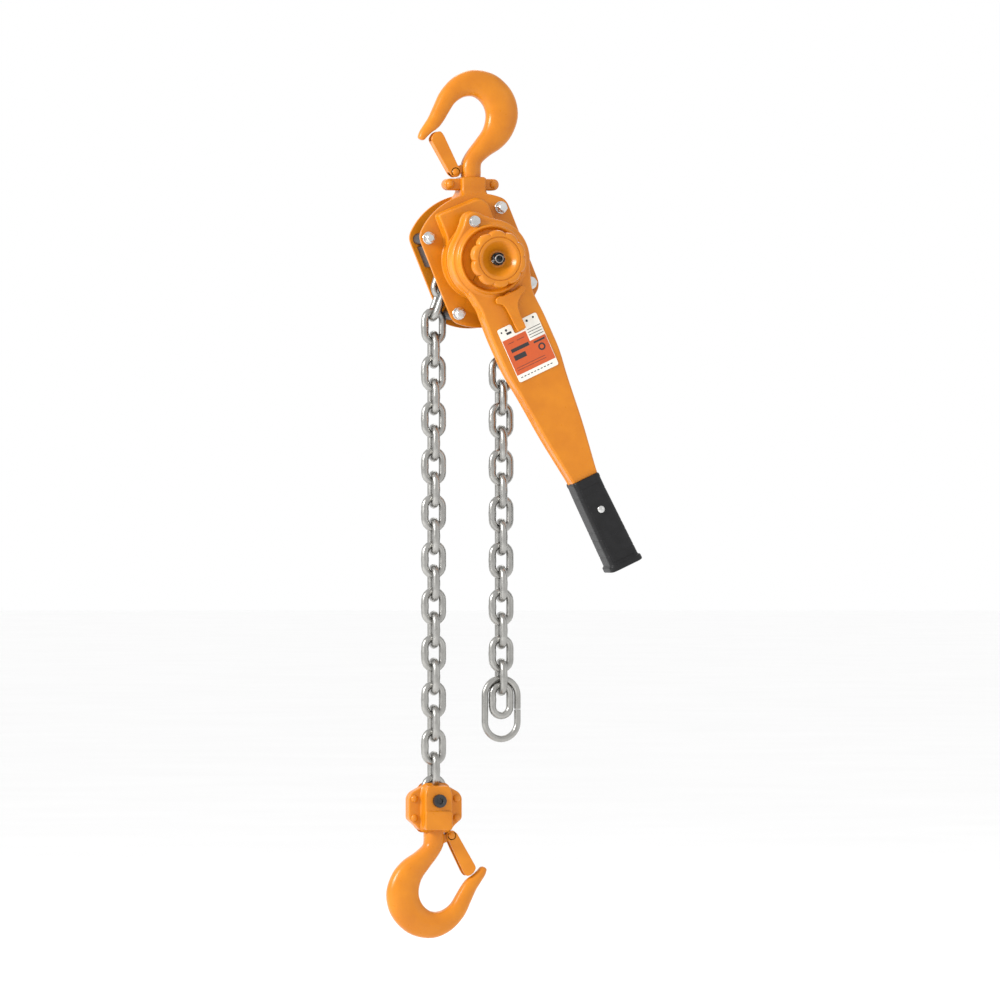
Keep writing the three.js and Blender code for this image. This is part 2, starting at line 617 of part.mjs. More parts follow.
const RATCHET_TEETH = 14;
const RATCHET_SPAN = [-31.5, -28.9];
const ratchetPoints = [];
for (let i = 0; i < RATCHET_TEETH; i++) {
  const a = (2 * Math.PI * i) / RATCHET_TEETH;
  ratchetPoints.push([32.5 * Math.cos(a), 32.5 * Math.sin(a)]);
  ratchetPoints.push([DISC_R * Math.cos(a + 0.33), DISC_R * Math.sin(a + 0.33)]);
  ratchetPoints.push([DISC_R * Math.cos(a + 0.385), DISC_R * Math.sin(a + 0.385)]);
}
const ratchet = cut(slab(shapeOf(ratchetPoints), ...RATCHET_SPAN), rod(12.3, -40, -20));
piece("ratchet_disc", ratchet, gearSteel, frame);

const changeTeeth = [];
const CHANGE_COUNT = 14;
for (let i = 0; i < CHANGE_COUNT; i++) {
  const a = (2 * Math.PI * i) / CHANGE_COUNT;
  for (const [r, shift] of [[22, -0.12], [26, -0.06], [26, 0.06], [22, 0.12]]) {
    changeTeeth.push([r * Math.cos(a + shift), r * Math.sin(a + shift)]);
  }
}
const changeHub = lathe([
  [8.1, -66], [13, -66], [13, CHANGE_FRONT + 1], [20, CHANGE_FRONT + 1],
  [20, -35], [32, -35], [32, -33.3], [8.1, -33.3],
], 18);
const changeRing = cut(slab(shapeOf(changeTeeth), CHANGE_FRONT, -47), rod(15, -70, -40));
piece("change_gear", join(changeHub, changeRing), gearSteel, frame);

// The pawl waits just above the ratchet disc, turning on a pin fixed in the front plate.
const PAWL_PIVOT = [20, 56];
const PAWL_TIP = [-2, 43];
const pawl = slab(stadium(PAWL_TIP, PAWL_PIVOT, 4.4), ...RATCHET_SPAN, 5);
piece("brake_pawl", cut(pawl, rod(3.3, -40, -20, ...PAWL_PIVOT, 12)), gearSteel, frame);
piece("pawl_pin", rod(3, -34.5, -PLATE_OUT - GAP, ...PAWL_PIVOT, 12), gearSteel, frame);

function coverOutline(front, back, grow) {
  const half = BOSS_HALF + grow;
  const slope = 8;
  const top = shapeOf([
    [-half, 0], [half, 0], [half, BOSS_TOP - slope], [BOSS_HALF - slope, BOSS_TOP + grow],
    [slope - BOSS_HALF, BOSS_TOP + grow], [-half, BOSS_TOP - slope],
  ]);
  return [rod(BRAKE_R + grow, front, back, 0, 0, 24), slab(top, front, back)];
}
const brakeCover = cut(
  join(...coverOutline(BRAKE_FRONT, -PLATE_OUT - GAP, 0)),
  ...coverOutline(BRAKE_FRONT + 2, -PLATE_OUT, -2.5),
  rod(22, -50, -20, 0, 0, 24),
);
piece("brake_cover", brakeCover, paint, frame);

function wheelShape(radius, depth) {
  const points = [];
  const steps = WHEEL_LOBES * 4;
  for (let i = 0; i < steps; i++) {
    const a = (2 * Math.PI * i) / steps;
    const r = radius - depth * (1 - Math.abs(Math.cos((a * WHEEL_LOBES) / 2)) ** 0.7);
    points.push([r * Math.cos(a), r * Math.sin(a)]);
  }
  return shapeOf(points);
}
const wheelHollow = lathe([
  [22, WHEEL_FRONT - 1], [21.4, WHEEL_FRONT], [12, -99],
  [9.2, WHEEL_WEB], [0, WHEEL_WEB], [0, WHEEL_FRONT - 1],
], 16);
const wheelRing = washer(26.8, 25.4, WHEEL_FRONT - 1, WHEEL_FRONT + 1.2, 16);
const wheelBlank = dishedSlab(wheelShape(WHEEL_R, 2.6), WHEEL_FRONT, WHEEL_BACK, 2.5);
const wheelBody = cut(wheelBlank, wheelHollow, wheelRing);
const wheelBore = join(rod(5.8, -110, -70, 0, 0, 16), rod(8.1, WHEEL_WEB + 6.6, -70, 0, 0, 16));
piece("hand_wheel", cut(wheelBody, wheelBore), paint, frame);
const castle = cut(
  rod(7.8, -104.5, WHEEL_WEB - GAP, 0, 0, 12),
  rod(5.8, -110, -90, 0, 0, 16),
  ...[0, 1, 2].map((i) => turned(box(-12, 12, -110, -100.2, -1.3, 1.3), (i * Math.PI) / 3)),
);
piece("castle_nut", castle, blackSteel, frame);
const splitWire = new THREE.CylinderGeometry(0.9, 0.9, 15, 8).rotateZ(Math.PI / 2);
const splitPin = moved(solid(splitWire), 0, -101.5, 0);
piece("split_pin", splitPin, zinc, frame);

// ---------- ratchet lever ----------
const EAR_Z = 50;
const EAR_R = 12;
const ARM_SIDE = [
  [41, -20], [35, -55], [38, -82], [38, -134], [33, -162], [26, -225], [17.5, GRIP_TOP], [16, GRIP_TOP - 12],
];
const ARM_END = GRIP_END + 6;
const GRIP_RIVET_Z = -329;

function leverSolid(front, back, grow, chamfer = 0) {
  const make = (shape, steps) =>
    chamfer ? dishedSlab(shape, front, back, chamfer, steps) : slab(shape, front, back, steps);
  const head = new THREE.Shape().absarc(0, 0, LEVER_HEAD_R + grow, 0, 2 * Math.PI, false);
  const side = [...ARM_SIDE, [16, ARM_END]].map(([x, z]) => [x + grow, z === ARM_END ? z - grow : z]);
  const arm = shapeOf([...side.map(([x, z]) => [-x, z]), ...side.reverse()]);
  return join(make(head, 10), make(arm), make(stadium([0, 20], [0, EAR_Z], EAR_R + grow), 5));
}

const ARM_BACK = -46;
const armKeep = join(rod(80, -200, 0, 0, 0, 24), box(-80, 80, -200, ARM_BACK, -500, 100));
const leverHoles = [rod(3.8, -100, 0, 0, EAR_Z, 12), rod(3.6, -100, 0, 0, GRIP_RIVET_Z, 12)];
const rearShell = cut(
  leverSolid(LEVER_SPLIT + GAP / 2, LEVER_BACK, 0).intersect(armKeep),
  leverSolid(LEVER_SPLIT - 1, LEVER_BACK - SHEET, -SHEET).intersect(
    join(rod(70, -200, 0, 0, 0, 24), box(-80, 80, -200, ARM_BACK - SHEET, -500, 100)),
  ),
  rod(20.4, -60, -30, 0, 0, 24),
  ...leverHoles,
);
piece("lever_rear_shell", rearShell, paint, leverArm);

const wheelWell = rod(WHEEL_WELL_R, RIDGE_FRONT - 1, LEVER_FRONT + 2);
const ridge = cut(rod(RIDGE_R, RIDGE_FRONT, LEVER_FRONT + 1), wheelWell);
const SELECTOR_PIVOT = [0, -52];
const frontShell = cut(
  join(leverSolid(LEVER_FRONT, LEVER_SPLIT - GAP / 2, 0, 4), ridge),
  leverSolid(LEVER_FRONT + SHEET, LEVER_SPLIT + 1, -SHEET),
  rod(13.4, -90, -50, 0, 0, 20),
  rod(4.4, -90, -50, ...SELECTOR_PIVOT, 12),
  ...leverHoles,
);
piece("lever_front_shell", frontShell, paint, leverArm);
const boltShank = rod(3.5, LEVER_FRONT - 1, LEVER_BACK - 0.5, 0, EAR_Z, 12);
const boltHead = rod(7, -78.5, LEVER_FRONT - GAP, 0, EAR_Z, 12);
piece("lever_bolt", join(boltShank, boltHead), zinc, leverArm);

// Selector lever in front of the shell, with a two-armed pawl on the same post inside.
const selectorShape = shapeOf([
  [-17, -44], [-16, -52], [-6, -58], [-5, -74], [-4.5, -88], [4.5, -88],
  [5, -74], [7, -58], [18, -52], [19, -45], [8, -47],
].reverse());
const selectorPost = rod(4, -78, -58, ...SELECTOR_PIVOT, 12);
const selectorBoss = rod(8, -77, LEVER_FRONT - GAP, ...SELECTOR_PIVOT, 16);
piece("selector_lever", join(slab(selectorShape, -81, -76.5), selectorPost, selectorBoss), paint, leverArm);
const CLAW_SPAN = [-57, -49];
const claws = join(
  rod(7.5, ...CLAW_SPAN, ...SELECTOR_PIVOT, 16),
  ...[-13, 13].map((x) => slab(stadium(SELECTOR_PIVOT, [x, -33.5], 4), ...CLAW_SPAN, 6)),
);
piece("selector_pawl", claws, gearSteel, leverArm);

const plateOutline = shapeOf([
  [-28, -83], [-10, -83], [-9, -97], [6, -97], [6, -83], [26, -83], [27.5, -84.5], [27.5, -150], [26, -155],
  [-27, -155], [-28.5, -153], [-28.5, -84.5],
].reverse());
const namePlate = slab(plateOutline, LEVER_FRONT - 0.9, LEVER_FRONT - GAP);
piece("name_plate", namePlate, label, leverArm);

const gripOuter = (grow, top, end) => shapeOf([
  [-17.6 - grow, top], [-19.5 - grow, end], [19.5 + grow, end], [17.6 + grow, top],
]);
const GRIP_FRONT = -77.5;
const GRIP_BACK = -41.5;
const sleeve = dishedSlab(gripOuter(0, GRIP_TOP - 2, GRIP_END + 3), GRIP_FRONT, GRIP_BACK, 4);
const flange = slab(gripOuter(2.5, GRIP_END + 7, GRIP_END), GRIP_FRONT - 1, GRIP_BACK + 1);
const armRoom = slab(shapeOf([
  [-18.6, GRIP_TOP + 5], [-16.4, GRIP_TOP - 12], [-16.3, ARM_END - GAP],
  [16.3, ARM_END - GAP], [16.4, GRIP_TOP - 12], [18.6, GRIP_TOP + 5],
]), LEVER_FRONT - GAP, ARM_BACK + GAP);
const grip = cut(join(sleeve, flange), armRoom, rod(3.6, -100, 0, 0, GRIP_RIVET_Z, 12));
piece("grip", grip, rubber, leverArm);
const gripRivet = lathe([
  [0, -80], [3, -79.6], [4.6, GRIP_FRONT - GAP], [3.2, GRIP_FRONT - GAP],
  [3.2, GRIP_BACK + GAP], [4.6, GRIP_BACK + GAP], [3, -39.4], [0, -39],
], 8);
piece("grip_rivet", moved(gripRivet, 0, 0, GRIP_RIVET_Z), zinc, leverArm);

// ---------- bottom block and hook ----------
const PIN_R = 5;
const BLOCK_OUT = 24;
const BLOCK_BOTTOM = -35.3;
const BLOCK_RIM = [
  [-34.5, 3], [-31, 9], [-12, 20], [12, 20], [31, 9], [34.5, 3],
  [34.5, -21], [24, -30], [20, BLOCK_BOTTOM], [-20, BLOCK_BOTTOM], [-24, -30], [-34.5, -21],
];
const BLOCK_BOX = [[-17, 18], [-17, BLOCK_BOTTOM], [17, BLOCK_BOTTOM], [17, 18]];
const BLOCK_RIVETS = [[-27, 1], [27, 1], [-27, -19], [27, -19]];
const BLOCK_GROOVE = -33.5; // start of the shank's groove, below the chain pin
const pinZ = pinLinkZ - (PITCH - BITE) / 2 + PIN_R + 2 * GAP;
const block = new THREE.Group(); // measured from the chain pin
block.position.set(RUN_X, 0, pinZ);
hoist.add(block);

function blockSide(side) {
  const span = (near, far) => [Math.min(side * near, side * far), Math.max(side * near, side * far)];
  const rim = slab(shapeOf(BLOCK_RIM), ...span(GAP / 2, 8));
  const body = slab(shapeOf(BLOCK_BOX), ...span(GAP / 2, BLOCK_OUT));
  const slot = box(-20.5, 20.5, -5.6, 5.6, -15.4, 40);
  const mouth = box(-10, 10, -17, 17, 9, 40);
  return cut(
    join(rim, body), slot, mouth, shankRoom(0, BLOCK_GROOVE, -1), rod(PIN_R + 0.3, -60, 60, 0, 0, 16),
    ...BLOCK_RIVETS.map(([x, z]) => rod(2.8, -60, 60, x, z, 10)),
  );
}
piece("bottom_block_front", blockSide(-1), paint, block);
piece("bottom_block_rear", blockSide(1), paint, block);
const pinShank = rod(PIN_R, -BLOCK_OUT - 1, BLOCK_OUT + 6, 0, 0, 16);
const pinHead = rod(8, -BLOCK_OUT - 6, -BLOCK_OUT - GAP, 0, 0, 16);
const pinSocket = rod(4, -BLOCK_OUT - 7, -BLOCK_OUT - 3, 0, 0, 6);
piece("chain_pin", cut(join(pinShank, pinHead), pinSocket), blackSteel, block);
const pinNut = rod(8.6, BLOCK_OUT + GAP, BLOCK_OUT + 6.5, 0, 0, 6);
piece("chain_pin_nut", cut(pinNut, rod(PIN_R + GAP, 0, 60, 0, 0, 16)), blackSteel, block);
BLOCK_RIVETS.forEach(([x, z], i) => {
  piece(`block_rivet_${i + 1}`, moved(rivet(8.3, 2.5, 4.6, 2.8, 6), x, 0, z), paint, block);
});
const bottomHook = new THREE.Group(); // measured from the centre of the bowl
bottomHook.position.set(0, 0, BLOCK_GROOVE - HOOK_GROOVE);
block.add(bottomHook);
hook("bottom", bottomHook);

export default root;
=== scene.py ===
"""Lever chain hoist: two swivel hooks, a geared load sheave between side plates, a brake and a ratchet lever.

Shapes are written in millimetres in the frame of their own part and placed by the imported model's joints.
-Y is the front, where the lever and the hand wheel are, and +Z is up.
"""
import json
from math import acos, asin, atan2, cos, degrees, pi, radians, sin, sqrt, tan, tau

import bmesh
import bpy
from mathutils import Matrix, Vector


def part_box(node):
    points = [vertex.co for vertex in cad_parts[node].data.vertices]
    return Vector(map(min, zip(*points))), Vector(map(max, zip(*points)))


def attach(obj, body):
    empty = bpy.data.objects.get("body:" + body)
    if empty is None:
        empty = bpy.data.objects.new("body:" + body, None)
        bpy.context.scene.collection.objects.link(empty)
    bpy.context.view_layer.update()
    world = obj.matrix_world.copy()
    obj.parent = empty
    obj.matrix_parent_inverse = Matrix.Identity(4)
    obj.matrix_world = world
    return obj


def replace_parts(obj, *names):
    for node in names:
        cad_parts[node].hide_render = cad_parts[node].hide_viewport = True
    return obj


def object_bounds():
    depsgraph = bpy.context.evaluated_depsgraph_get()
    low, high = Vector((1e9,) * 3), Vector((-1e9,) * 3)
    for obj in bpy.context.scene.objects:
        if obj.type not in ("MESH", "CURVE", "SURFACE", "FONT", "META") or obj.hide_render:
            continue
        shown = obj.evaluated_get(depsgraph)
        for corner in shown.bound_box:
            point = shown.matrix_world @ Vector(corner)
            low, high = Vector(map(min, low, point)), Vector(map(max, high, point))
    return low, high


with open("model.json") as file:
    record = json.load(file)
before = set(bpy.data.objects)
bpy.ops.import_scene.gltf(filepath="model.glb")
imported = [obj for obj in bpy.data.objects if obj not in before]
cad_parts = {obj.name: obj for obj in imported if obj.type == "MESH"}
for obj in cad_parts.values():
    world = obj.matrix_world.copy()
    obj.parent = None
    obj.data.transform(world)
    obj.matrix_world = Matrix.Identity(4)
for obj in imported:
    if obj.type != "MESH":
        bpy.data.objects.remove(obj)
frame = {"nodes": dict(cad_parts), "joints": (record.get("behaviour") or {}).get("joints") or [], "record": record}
cad_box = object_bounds()

MM = 0.001
JOINTS = {joint["name"]: joint for joint in frame["joints"]}


def joint_place(name):
    """Where a joint's axis is, in millimetres."""
    return Vector(JOINTS[name]["pos_m"]) / MM


# ---------- driving dimensions ----------
FRAME_TILT = radians(22.5)
LEVER_TILT = radians(24.9)
SHAFT = joint_place("lever_turn")
HOIST = Matrix.Translation(SHAFT)
PLATES = HOIST @ Matrix.Rotation(-FRAME_TILT, 4, "Y")
LEVER = HOIST @ Matrix.Rotation(-LEVER_TILT, 4, "Y")

LATCH_PIVOT = Vector((20.7, 0, 67.2))  # from the centre of a hook's bowl, opening to +X
BOTTOM_BOWL = Matrix.Translation(joint_place("bottom_latch_pivot") - LATCH_PIVOT)
TOP_BOWL = Matrix.Translation(joint_place("top_latch_pivot") + LATCH_PIVOT) @ Matrix.Rotation(pi, 4, "Y")
BLOCK = Matrix.Translation(joint_place("bottom_block_pivot"))

# Where a piece is placed and the body it rides on.
ON_FRAME = HOIST, "hoist_frame"
ON_PLATES = PLATES, "hoist_frame"
ON_DRIVE = PLATES, "drive"
ON_LEVER = LEVER, "lever"
ON_BLOCK = BLOCK, "bottom_block"

PITCH = 28.15  # load chain
WIRE = 9
LINK_WIDTH = 31
POCKETS = 4
LEAD_SHIFT = 2.5  # from the last bend on the sheave to the first link of the load run


# ---------- outlines in X and Z ----------
def arc(radius, start, end, steps, centre=(0, 0)):
    """Points on a circle between two angles in degrees."""
    points = []
    for i in range(steps + 1):
        angle = radians(start + (end - start) * i / steps)
        points.append((centre[0] + radius * cos(angle), centre[1] + radius * sin(angle)))
    return points


def around(sides):
    """Angles in equal steps round a circle, in radians."""
    return [tau * k / sides for k in range(sides)]


def circle(radius, steps=48, centre=(0, 0)):
    return arc(radius, 0, 360, steps, centre)[:-1]


def spline(points, steps=6, closed=True):
    """A smooth curve through points of any dimension."""
    count = len(points)
    out = []
    for i in range(count if closed else count - 1):
        near = [(i + k) % count if closed else max(0, min(count - 1, i + k)) for k in (-1, 0, 1, 2)]
        four = [points[k] for k in near]
        for s in range(steps):
            t = s / steps
            out.append(tuple(
                0.5 * (2 * q + (r - p) * t + (2 * p - 5 * q + 4 * r - u) * t * t
                       + (3 * q - p - 3 * r + u) * t ** 3)
                for p, q, r, u in zip(*four)
            ))
    if not closed:
        out.append(tuple(points[-1]))
    return out


def rounded(points, radius, steps=5):
    """A closed outline with each corner rounded."""
    out = []
    count = len(points)
    for i, point in enumerate(points):
        here = Vector(point)
        back = Vector(points[i - 1]) - here
        ahead = Vector(points[(i + 1) % count]) - here
        reach = min(radius, back.length * 0.45, ahead.length * 0.45)
        first = here + back.normalized() * reach
        last = here + ahead.normalized() * reach
        for s in range(steps + 1):
            t = s / steps
            out.append(tuple(first.lerp(here, t).lerp(here.lerp(last, t), t)))
    return out


def inset(points, distance):
    """A counter-clockwise outline moved inwards, or outwards for a negative distance."""
    count = len(points)
    out = []
    for i in range(count):
        before = Vector(points[i]) - Vector(points[i - 1])
        after = Vector(points[(i + 1) % count]) - Vector(points[i])
        along = before.normalized() + after.normalized()
        if along.length < 1e-6:
            along = after
        along.normalize()
        inward = Vector((-along.y, along.x))
        out.append(tuple(Vector(points[i]) + inward * distance))
    return out


def slot_outline(start, end, radius, steps=10):
    """A strip with round ends between two points, counter-clockwise."""
    lean = degrees(atan2(end[1] - start[1], end[0] - start[0]))
    return arc(radius, lean - 90, lean + 90, steps, end) + arc(radius, lean + 90, lean + 270, steps, start)


# ---------- meshes ----------
def finish_mesh(name, vertices, faces, place, crease):
    """A closed mesh in metres, smooth but for the edges that bend more than the crease angle."""
    mesh = bpy.data.meshes.new(name)
    mesh.from_pydata([tuple((place @ Vector(v)) * MM) for v in vertices], [], faces)
    shell = bmesh.new()
    shell.from_mesh(mesh)
    bmesh.ops.remove_doubles(shell, verts=shell.verts, dist=1e-6)
    bmesh.ops.recalc_face_normals(shell, faces=shell.faces)
    for face in shell.faces:
        face.smooth = True
    for edge in shell.edges:
        if len(edge.link_faces) == 2 and edge.calc_face_angle(0) > crease:
            edge.smooth = False
    shell.to_mesh(mesh)
    shell.free()
    piece = bpy.data.objects.new(name, mesh)
    bpy.context.scene.collection.objects.link(piece)
    return piece


def modifier(piece, kind, **settings):
    made = piece.modifiers.new(kind.title(), kind)
    for key, value in settings.items():
        setattr(made, key, value)


def add(name, vertices, faces, place, body, material, bevel=0.0, segments=3, crease=35):
    """A piece that rides on a body. bevel is in millimetres and rounds the sharp edges."""
    piece = finish_mesh(name, vertices, faces, place, radians(crease))
    if bevel:
        modifier(piece, "BEVEL", width=bevel * MM, segments=segments, limit_method="ANGLE",
                 angle_limit=radians(crease), harden_normals=True)
    modifier(piece, "WEIGHTED_NORMAL", keep_sharp=True)
    piece.data.materials.append(material)
    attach(piece, body)
    return piece


def loft(rings, closed=False, capped=True):
    """Vertices and faces through rings of equal length."""
    sides = len(rings[0])
    vertices = [v for ring in rings for v in ring]
    faces = []
    spans = len(rings) if closed else len(rings) - 1
    for i in range(spans):
        first = i * sides
        second = (i + 1) % len(rings) * sides
        for k in range(sides):
            nxt = (k + 1) % sides
            faces.append((first + k, first + nxt, second + nxt, second + k))
    if capped and not closed:
        faces.append(tuple(range(sides)))
        faces.append(tuple(range(len(vertices) - sides, len(vertices))))
    return vertices, faces


def layers(outline, levels, side=1):
    """A solid built up along Y from an inset and a depth for each level. side -1 mirrors it in Y."""
    rings = []
    for distance, y in levels:
        ring = inset(outline, distance) if distance else outline
        rings.append([(x, side * y, z) for x, z in ring])
    return loft(rings)


def slab(outline, front, back):
    return layers(outline, [(0, front), (0, back)])


def turned(profile, sides=64, closed=False):
    """A solid of revolution about Y. Its (radius, y) pairs end on the axis, or close on each other."""
    count = len(profile)
    vertices = []
    for angle in around(sides):
        vertices += [(r * cos(angle), y, r * sin(angle)) for r, y in profile]
    faces = []
    for k in range(sides):
        here, ahead = k * count, (k + 1) % sides * count
        for i in range(count if closed else count - 1):
            j = (i + 1) % count
            faces.append((here + i, here + j, ahead + j, ahead + i))
    return vertices, faces


def rod(radius, front, back, sides):
    return turned([(0, front), (radius, front), (radius, back), (0, back)], sides)


def join(*parts):
    """Several shapes as one."""
    vertices, faces = [], []
    for part_vertices, part_faces in parts:
        faces += [tuple(index + len(vertices) for index in face) for face in part_faces]
        vertices += part_vertices
    return vertices, faces


def shifted(shape, x=0, y=0, z=0):
    return [(vx + x, vy + y, vz + z) for vx, vy, vz in shape[0]], shape[1]


# ---------- materials ----------
class Nodes:
    """A node tree with a principled surface."""

    def __init__(self, name, slot):
        self.material = bpy.data.materials.new(name)
        self.material["slot"] = slot
        self.material.use_nodes = True
        self.tree = self.material.node_tree
        self.surface = self.tree.nodes["Principled BSDF"]
        self.place = self.make("ShaderNodeTexCoord").outputs["Object"]

    def make(self, kind, **settings):
        node = self.tree.nodes.new(kind)
        for key, value in settings.items():
            setattr(node, key, value)
        return node

    def link(self, output, target):
        self.tree.links.new(output, target)

    def noise(self, scale, detail=3.0, roughness=0.5):
        node = self.make("ShaderNodeTexNoise")
        node.inputs["Scale"].default_value = scale
        node.inputs["Detail"].default_value = detail
        node.inputs["Roughness"].default_value = roughness
        self.link(self.place, node.inputs["Vector"])
        return node.outputs["Fac"]

    def ramp(self, value, *stops):
        node = self.make("ShaderNodeValToRGB")
        elements = node.color_ramp.elements
        while len(elements) < len(stops):
            elements.new(0.5)
        for element, (position, colour) in zip(elements, stops):
            element.position = position
            element.color = (*colour, 1) if isinstance(colour, tuple) else (colour, colour, colour, 1)
        self.link(value, node.inputs["Fac"])
        return node.outputs["Color"]

    def blend(self, share, first, second):
        node = self.make("ShaderNodeMix", data_type="RGBA")
        self.link(share, node.inputs["Factor"])
        for value, target in ((first, node.inputs["A"]), (second, node.inputs["B"])):
            if isinstance(value, tuple):
                target.default_value = (*value, 1)
            else:
                self.link(value, target)
        return node.outputs["Result"]

    def bump(self, height, depth, strength=1.0, under=None):
        node = self.make("ShaderNodeBump")
        node.inputs["Distance"].default_value = depth
        node.inputs["Strength"].default_value = strength
        self.link(height, node.inputs["Height"])
        if under:
            self.link(under, node.inputs["Normal"])
        return node.outputs["Normal"]

    def set(self, **values):
        for key, value in values.items():
            target = self.surface.inputs[key.replace("_", " ")]
            if isinstance(value, (int, float)):
                target.default_value = value
            elif isinstance(value, tuple):
                target.default_value = (*value, 1)
            else:
                self.link(value, target)
        return self.material


ORANGE = (0.64, 0.215, 0.006)
DEEP_ORANGE = (0.55, 0.17, 0.004)


def paint_material(name, grain, depth, tone=1.0):
    """Glossy orange paint over a pressed sheet or a rough forging."""
    nodes = Nodes(name, "paint")
    mottle = nodes.ramp(nodes.noise(34, 4), (0.35, 0.0), (0.75, 1.0))
    lit = tuple(channel * tone for channel in ORANGE)
    deep = tuple(channel * tone for channel in DEEP_ORANGE)
    colour = nodes.blend(mottle, deep, lit)
    peel = nodes.bump(nodes.noise(grain, 3, 0.55), depth)
    dents = nodes.bump(nodes.noise(45, 2), depth * 3, 0.6, under=peel)
    gloss = nodes.ramp(nodes.noise(150, 4), (0.3, 0.27), (0.8, 0.42))
    return nodes.set(Base_Color=colour, Roughness=gloss, Normal=dents, Specular_IOR_Level=0.3,
                     Coat_Weight=0.12, Coat_Roughness=0.15)


def metal_material(name, slot, colours, rough, grain, depth, metallic=1.0):
    """Bare or plated steel with cloudy plating and a fine grain."""
    nodes = Nodes(name, slot)
    cloud = nodes.ramp(nodes.noise(60, 5, 0.6), (0.3, 0.0), (0.75, 1.0))
    base = nodes.blend(cloud, *colours)
    shine = nodes.ramp(nodes.noise(220, 4), (0.25, rough * 0.75), (0.8, rough * 1.35))
    pits = nodes.bump(nodes.noise(grain, 4, 0.6), depth)
    return nodes.set(Base_Color=base, Roughness=shine, Metallic=metallic, Normal=pits)


def rubber_material():
    """Moulded black rubber with dust in its grain."""
    nodes = Nodes("grip_rubber", "rubber")
    dust = nodes.ramp(nodes.noise(90, 5), (0.35, 0.0), (0.85, 1.0))
    base = nodes.blend(dust, (0.004, 0.004, 0.0045), (0.010, 0.010, 0.011))
    grain = nodes.bump(nodes.noise(1800, 2), 0.00012)
    return nodes.set(Base_Color=base, Roughness=0.42, Specular_IOR_Level=0.3, Normal=grain)


def print_material(name, colour):
    """Screen-printed ink on the name plate."""
    nodes = Nodes(name, "label")
    wear = nodes.ramp(nodes.noise(260, 5), (0.3, 0.0), (0.7, 1.0))
    base = nodes.blend(wear, tuple(channel * 0.93 for channel in colour), colour)
    film = nodes.bump(nodes.noise(900, 2), 0.00004)
    return nodes.set(Base_Color=base, Roughness=0.38, Normal=film)


def lining_material():
    """Pressed brake lining: a rough mat of fibres."""
    nodes = Nodes("friction_lining", "lining")
    fibre = nodes.ramp(nodes.noise(700, 5, 0.7), (0.35, 0.0), (0.7, 1.0))
    base = nodes.blend(fibre, (0.06, 0.04, 0.025), (0.17, 0.12, 0.08))
    return nodes.set(Base_Color=base, Roughness=0.85, Normal=nodes.bump(nodes.noise(900, 3), 0.0002))


SHEET_PAINT = paint_material("pressed_sheet_paint", 520, 0.00005)
FORGED_PAINT = paint_material("forged_paint", 260, 0.00016, 0.97)
WHEEL_PAINT = paint_material("hand_wheel_paint", 420, 0.00005, 0.98)
CHAIN_STEEL = metal_material("chain_steel", "chain_steel", ((0.30, 0.295, 0.28), (0.40, 0.395, 0.375)),
                             rough=0.30, grain=420, depth=0.00003)
ZINC = metal_material("zinc_plate", "zinc", ((0.52, 0.52, 0.51), (0.74, 0.74, 0.73)),
                      rough=0.2, grain=600, depth=0.00004)
BLACK_STEEL = metal_material("black_oxide", "black_steel", ((0.025, 0.025, 0.027), (0.06, 0.06, 0.062)),
                             rough=0.4, grain=500, depth=0.00006, metallic=0.7)
GEAR_STEEL = metal_material("machined_steel", "gear_steel", ((0.28, 0.27, 0.26), (0.5, 0.5, 0.5)),
                            rough=0.3, grain=700, depth=0.00004)
LINING = lining_material()
RUBBER = rubber_material()
WHITE_INK = print_material("white_ink", (0.80, 0.78, 0.71))
RED_INK = print_material("red_ink", (0.56, 0.085, 0.012))
BLACK_INK = print_material("black_ink", (0.02, 0.02, 0.022))
SLOT_MATERIALS = {
    "paint": SHEET_PAINT,
    "chain_steel": CHAIN_STEEL,
    "zinc": ZINC,
    "black_steel": BLACK_STEEL,
    "gear_steel": GEAR_STEEL,
    "lining": LINING,
    "rubber": RUBBER,
    "label": WHITE_INK,
}
for subpart in frame["record"]["subparts"]:
    solid = frame["nodes"][subpart["node"]]
    solid.data.materials.clear()
    solid.data.materials.append(SLOT_MATERIALS[subpart["material_slot"]])


# ---------- camera, lights and floor ----------
VIEW_AZIMUTH = radians(-17)
CAMERA_DISTANCE = 11.0
FRAME_WIDTH = 1.206  # what the picture spans at the hoist
AIM_RIGHT = 0.0316  # from the main shaft to the middle of the picture
AIM_UP = 0.0045  # from half the hoist's height
SENSOR = 36
LIGHTS_AIM = (0.03, 0, -0.4)
# Name, place, diameter and power.
LIGHTS = [
    ("key", (-2.7, -0.7, 0.7), 0.9, 85),
    ("fill", (2.2, -2.2, 0.2), 2.0, 5),
    ("rim", (0.6, 2.2, 1.6), 1.6, 14),
]
FLOOR_DROP = 0.09  # the hoist hangs this far above the floor
FLOOR_RINGS = (0.01, 0.6, 3, 40)
FLOOR_SIDES = 64


def camera():
    """A long lens, level, a little to the left of the front."""
    right = Vector((cos(VIEW_AZIMUTH), sin(VIEW_AZIMUTH), 0))
    back = Vector((sin(VIEW_AZIMUTH), -cos(VIEW_AZIMUTH), 0))
    target = SHAFT * MM + right * AIM_RIGHT
    target.z = (cad_box[0].z + cad_box[1].z) / 2 + AIM_UP
    data = bpy.data.cameras.new("camera")
    data.sensor_width = SENSOR
    data.lens = SENSOR * CAMERA_DISTANCE / FRAME_WIDTH
    made = bpy.data.objects.new("camera", data)
    made.location = target + back * CAMERA_DISTANCE
    made.rotation_euler = (pi / 2, 0, VIEW_AZIMUTH)
    bpy.context.scene.collection.objects.link(made)
    bpy.context.scene.camera = made


